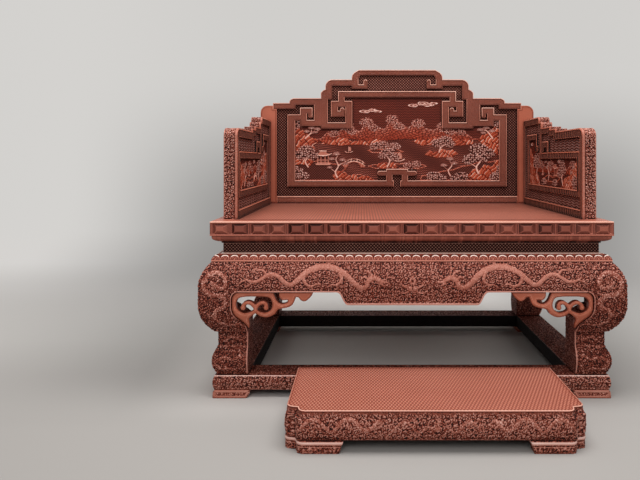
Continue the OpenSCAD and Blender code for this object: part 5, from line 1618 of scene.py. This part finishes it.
def rippled(s, t):
    """The same waves cut into the grounds of the arms."""
    row = (t + SEAT_TOP + RIPPLE_RISE * np.sin(2 * math.pi * (s + ARM_FRONT) / RIPPLE_WAY)) / RIPPLE % 1
    ridge = ease(RIPPLE * np.minimum(row, 1 - row), 0.8, 3.4)
    return 0.2 + 1.7 * ridge, np.full(s.shape, 0.5), np.zeros(s.shape)


for name, hand, motifs in (("left", -1, LEFT_PICTURE), ("right", 1, RIGHT_PICTURE)):
    def on_arm(s, t, x):
        """Places, in metres, of points in mm along and up this arm, at x out from the middle."""
        return np.stack([hand * x, s + ARM_FRONT, t + SEAT_TOP], 1) / 1000

    banded("arm_panel_" + name, "arm_panel_piece_" + name, (hand, 0, 0), smooth_lacquer, 0.42, PANEL_BEAD)
    banded("arm_fret_frame_" + name, "arm_fret_piece_" + name, (-hand, 0, 0), arm_fret_lacquer, 0.42)
    strip = shaped_grid("arm_strip_" + name, len(strip_path) - 1, len(strip_across), strip_shape(hand),
                        carved_lacquer)
    picture_board = carved_board(
        "arm_picture_piece_" + name, (52, 83, 640, 251), 2.0, lambda s, t: within(s, t, ARM_BOARD),
        lambda s, t: picture(s, t, motifs, 134), lambda s, t, h: on_arm(s, t, ARM_GROUND - h),
        picture_lacquer)
    arm_ground = carved_board(
        "arm_diaper_piece_" + name, (20, 20, 706, 318), 2.4,
        open_ground("arm_fret_frame_" + name, lambda s, t: on_arm(s, t, np.full(s.shape, ARM_BANDS)),
                    (-hand, 0, 0), lambda s, t: within(s, t, ARM_BORDER) & ~within(s, t, ARM_BOARD)),
        rippled, lambda s, t, h: on_arm(s, t, ARM_GROUND - h), rippled_lacquer, -0.5)
    outer = carved_board(
        "arm_outer_carving_" + name, (13, 13, 710, 320), 3.0, lambda s, t: within(s, t, ARM_BORDER),
        lambda s, t: scrolled_net(s, t, ARM_BORDER), lambda s, t, h: on_arm(s, t, ARM_OUT - 1 + h),
        carved_lacquer, -1.2)
    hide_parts("arm_scene_" + name)
    for piece, slot in ((strip, "carved_lacquer"), (picture_board, "carved_lacquer"),
                        (arm_ground, "ground_lacquer"), (outer, "carved_lacquer")):
        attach(piece, "throne")

# Footstool: a softwood top with notched front corners on swelling mitred aprons. The top has a bead
# round a close net on the slant. A carved band runs round its edge, and the aprons are carved as
# the seat's are, less deeply.
STOOL_X, STOOL_Y = 32.0, -447.25
STOOL_HALF_X, STOOL_HALF_Y = 352.5, 162.5
STOOL_TOP, STOOL_APRON_TOP, STOOL_FOOT = 98.0, 84.0, 30.0
STOOL_CORNER, STOOL_SUNK = 46.0, 1.1
NOTCH = ((0, 1), (0.04, 0.85), (0.17, 0.7), (0.37, 0.63), (0.59, 0.59), (0.63, 0.37), (0.7, 0.17),
         (0.85, 0.04), (1, 0))
STOOL_NET, STOOL_STRETCH = 8.4, 2.6
STOOL_CLOUDS = (11.5, 5.2)


def stool_outline(inset):
    """Outline of the footstool's top, drawn in by a distance, round its own middle."""
    x, y = STOOL_HALF_X - inset, STOOL_HALF_Y - inset
    near = [(-x + a * STOOL_CORNER, -y + b * STOOL_CORNER) for a, b in NOTCH]
    return near + [(-a, b) for a, b in reversed(near)] + [(x, y), (-x, y)]


stool_lacquer = lacquer("footstool_red_lacquer", [
    (0.0, "4a1c10"), (0.3, "8c4636"), (0.55, "b26a56"), (0.8, "cf8d79"), (1.0, "f0bfab")],
    rough=0.34, mottle=0.1, grain=0.06, pattern=dotted_lines(STOOL_NET, True, -0.8, STOOL_STRETCH),
    strength=0.15, fade=(0.7, 0.8), crevice_shade=0.2)
banded("footstool_top", "footstool_top_piece", (0, 0, 1), stool_lacquer, 0.4, [
    (1.0, 0.5, 1.0), (2.0, 0, 1.0), (0.8, -1.3, 0.4), (0.6, 0, 0.45)], lit=(0, -1, 0))
FIELD = stool_outline(4.6)


def stool_lattice(s, t):
    """The close net on the top, inside the bead."""
    depth = off_line(s, t, FIELD + FIELD[:1])
    net = dotted(s + STOOL_X, t + STOOL_Y, STOOL_NET, STOOL_STRETCH)
    height = np.where(within(s, t, FIELD), np.clip(0.2 + 0.8 * net, -0.6, depth * 0.5), -0.6)
    return height, 0.56 + 0.04 * ease(depth, 6, 14), np.zeros(s.shape)


lattice = carved_board(
    "footstool_lattice_piece", (-349, -159, 349, 159), 2.5, lambda s, t: within(s, t, FIELD), stool_lattice,
    lambda s, t, h: np.stack([s + STOOL_X, t + STOOL_Y, STOOL_TOP - STOOL_SUNK + h], 1) / 1000,
    stool_lacquer, -0.7)
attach(lattice, "footstool")

EDGE_TOP, EDGE_LOW, EDGE_POINTS, EDGE_STEP = 95.4, 83.4, 7, 2.4
edge_line = even_line(stool_outline(0) + stool_outline(0)[:1], EDGE_STEP)[0]
edge_way = np.roll(edge_line, -1, 0) - np.roll(edge_line, 1, 0)
edge_out = np.stack([edge_way[:, 1], -edge_way[:, 0]], 1) / np.hypot(*edge_way.T)[:, None]
edge_up = np.r_[np.linspace(EDGE_TOP, EDGE_LOW, EDGE_POINTS), EDGE_LOW, EDGE_TOP]


def edge_shape(across, round_):
    """The carved band round the top's edge, which carries the aprons' relief up to the bead."""
    i = np.rint((across + 1) / 2 * len(edge_line)).astype(int) % len(edge_line)
    j = np.rint((round_ + 1) / 2 * len(edge_up)).astype(int) % len(edge_up)
    outer, down = j < EDGE_POINTS, EDGE_TOP - edge_up[j]
    ground, below = cloud_scrolls(i * EDGE_STEP, edge_up[j], *STOOL_CLOUDS, 57), ease(down, 0, 3)
    off = np.where(outer, 0.4 + 1.9 * down / 12 - 1.5 * (1 - ground) * below, -3)
    x, y = (edge_line[i] + edge_out[i] * off[:, None]).T
    places = np.stack([x + STOOL_X, y + STOOL_Y, edge_up[j]], 1) / 1000
    return places, np.where(outer, 0.1 + 0.66 * ground * below, 0.1)


edge_band = shaped_grid("footstool_edge_carving", len(edge_line), len(edge_up), edge_shape, carved_lacquer)
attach(edge_band, "footstool")

STOOL_DRAGON = [
    [(338, 46, 1.4), (328, 50, 2.6), (316, 60, 4), (302, 74, 4.6), (287, 79, 4.8), (271, 73, 4.8),
     (258, 59, 4.8), (246, 51, 4.8), (235, 58, 5), (223, 72, 5.2), (209, 80, 5.4), (193, 76, 5.4),
     (180, 62, 5.2), (167, 54, 5), (153, 58, 5), (143, 69, 6)],
    [(143, 69, 6), (133, 76, 4.4), (126, 74, 2.6)],
    [(146, 72, 2.6), (152, 80, 1.8), (162, 80, 1)],
    [(142, 64, 2.6), (132, 60, 1.8), (126, 64, 1)],
    [(287, 75, 3), (281, 62, 2.2), (270, 54, 1.8), (272, 47, 1.2)],
    [(209, 76, 3), (204, 62, 2.4), (194, 52, 1.8), (197, 45, 1.2)],
    [(246, 51, 2.8), (238, 42, 2), (226, 41, 1.2)],
    [(112, 47, 1.6), (101, 56, 2.8), (90, 68, 3.4), (76, 74, 3.6), (62, 67, 3.6), (51, 54, 3.4),
     (39, 50, 3.2), (29, 57, 3)],
    [(76, 71, 2.2), (70, 59, 1.8), (60, 52, 1)],
    [(29, 57, 3), (22, 66, 2), (24, 74, 1)],
    [(5, 58, 6), (6, 58.4, 6)],
    [(2, 66, 2.6), (5, 73, 2.4), (1, 80, 1.2)]
]
SIDE_SHORT, SIDE_SMALL = 0.4, 0.66
STOOL_SIDE = [[(s * SIDE_SHORT, STOOL_FOOT + 2 + (t - APRON_LOW - 2) * SIDE_SMALL, r * SIDE_SMALL)
               for s, t, r in line] for line in SIDE_DRAGON]
STOOL_BEAD, STOOL_GROOVE = 2.6, 4.4
for k, side in enumerate(SIDES):
    stool_mesh, points, normals = even_mesh("footstool_apron_" + side, 2.3)
    x, y, z = (points - (STOOL_X, STOOL_Y, 0)).T
    along, inward_way, along_way, half = (
        (x, normals[:, 1], normals[:, 0], STOOL_HALF_X), (y, -normals[:, 0], normals[:, 1], STOOL_HALF_Y),
        (x, -normals[:, 1], normals[:, 0], STOOL_HALF_X), (y, normals[:, 0], normals[:, 1], STOOL_HALF_Y))[k]
    along = along if k < 2 else -along
    in_notch = np.abs(along) > half - STOOL_CORNER - 2
    outer = (inward_way < -0.25) | (in_notch & (inward_way < 0.35) & (np.abs(along_way) > 0.5))
    outer &= np.abs(normals[:, 2]) < 0.85
    ground = cloud_scrolls(along, z, *STOOL_CLOUDS, 51 + k)
    height, tone = carve(np.abs(along), z, STOOL_DRAGON if k % 2 == 0 else STOOL_SIDE, ground, 1.5, 4.2, 0.43)
    height = height + 2.2 * ease(z, 68, STOOL_APRON_TOP)
    bead, groove = z - STOOL_FOOT < STOOL_BEAD, z - STOOL_FOOT < STOOL_GROOVE
    height = np.where(bead, -0.4, np.where(groove, -1.6, height))
    # The groove above the bead is toned dark, painted shade.
    tone = np.where(bead, 0.6, np.where(groove, 0.1, tone + 0.04))
    height, tone = np.where(outer, height, 0), np.where(outer, tone, 0.16)
    apron = carved_copy("footstool_apron_piece_" + side, stool_mesh,
                        (points + normals * height[:, None]) / 1000, tone, False, carved_lacquer)
    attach(apron, "footstool")
    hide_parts("footstool_apron_" + side)

# Footstool's feet: four low softwood blocks, carved with scrolls, on which the aprons' corners
# stand. A groove and a fillet part each from the rounded neck above it.
NECK_LOW, NECK_GROOVE, NECK_MIDDLE, NECK_HALF, FOOT_FILLET = 17, 17.8, 23.5, 6.5, 15.6
feet_mesh, points, normals = even_mesh("footstool_feet", 2.8)
x, y, z = np.abs(points[:, 0] - STOOL_X), np.abs(points[:, 1] - STOOL_Y), points[:, 2]
outer = (np.abs(normals[:, 2]) < 0.6) & ((x > STOOL_HALF_X - 30) | (y > STOOL_HALF_Y - 30))
scrolls = cloud_scrolls(x - y, z, 11, 5.2, 61)
neck, groove = z > NECK_LOW, np.abs(z - NECK_GROOVE) < 1.2
roll = 0.9 * (dome((z - NECK_MIDDLE) / NECK_HALF) - 1)
height = np.where(neck, np.where(groove, -1.8, roll), -0.5 - 1.4 * (1 - scrolls))
# The roll's crest is a painted highlight, and the groove under the neck is toned dark, painted shade.
tone = np.where(neck, np.where(groove, 0.1, 0.66 + 0.3 * bump(z, 25.5, 2.4)),
                np.where(z < 3.4, 0.6, 0.12 + 0.62 * scrolls))
tone = np.where(np.abs(z - FOOT_FILLET) < 1.1, 0.66, tone)
height, tone = np.where(outer, height, 0), np.where(outer, tone, 0.2)
feet = carved_copy("footstool_feet_piece", feet_mesh, (points + normals * height[:, None]) / 1000, tone,
                   False, carved_lacquer)
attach(feet, "footstool")
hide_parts("footstool_feet")
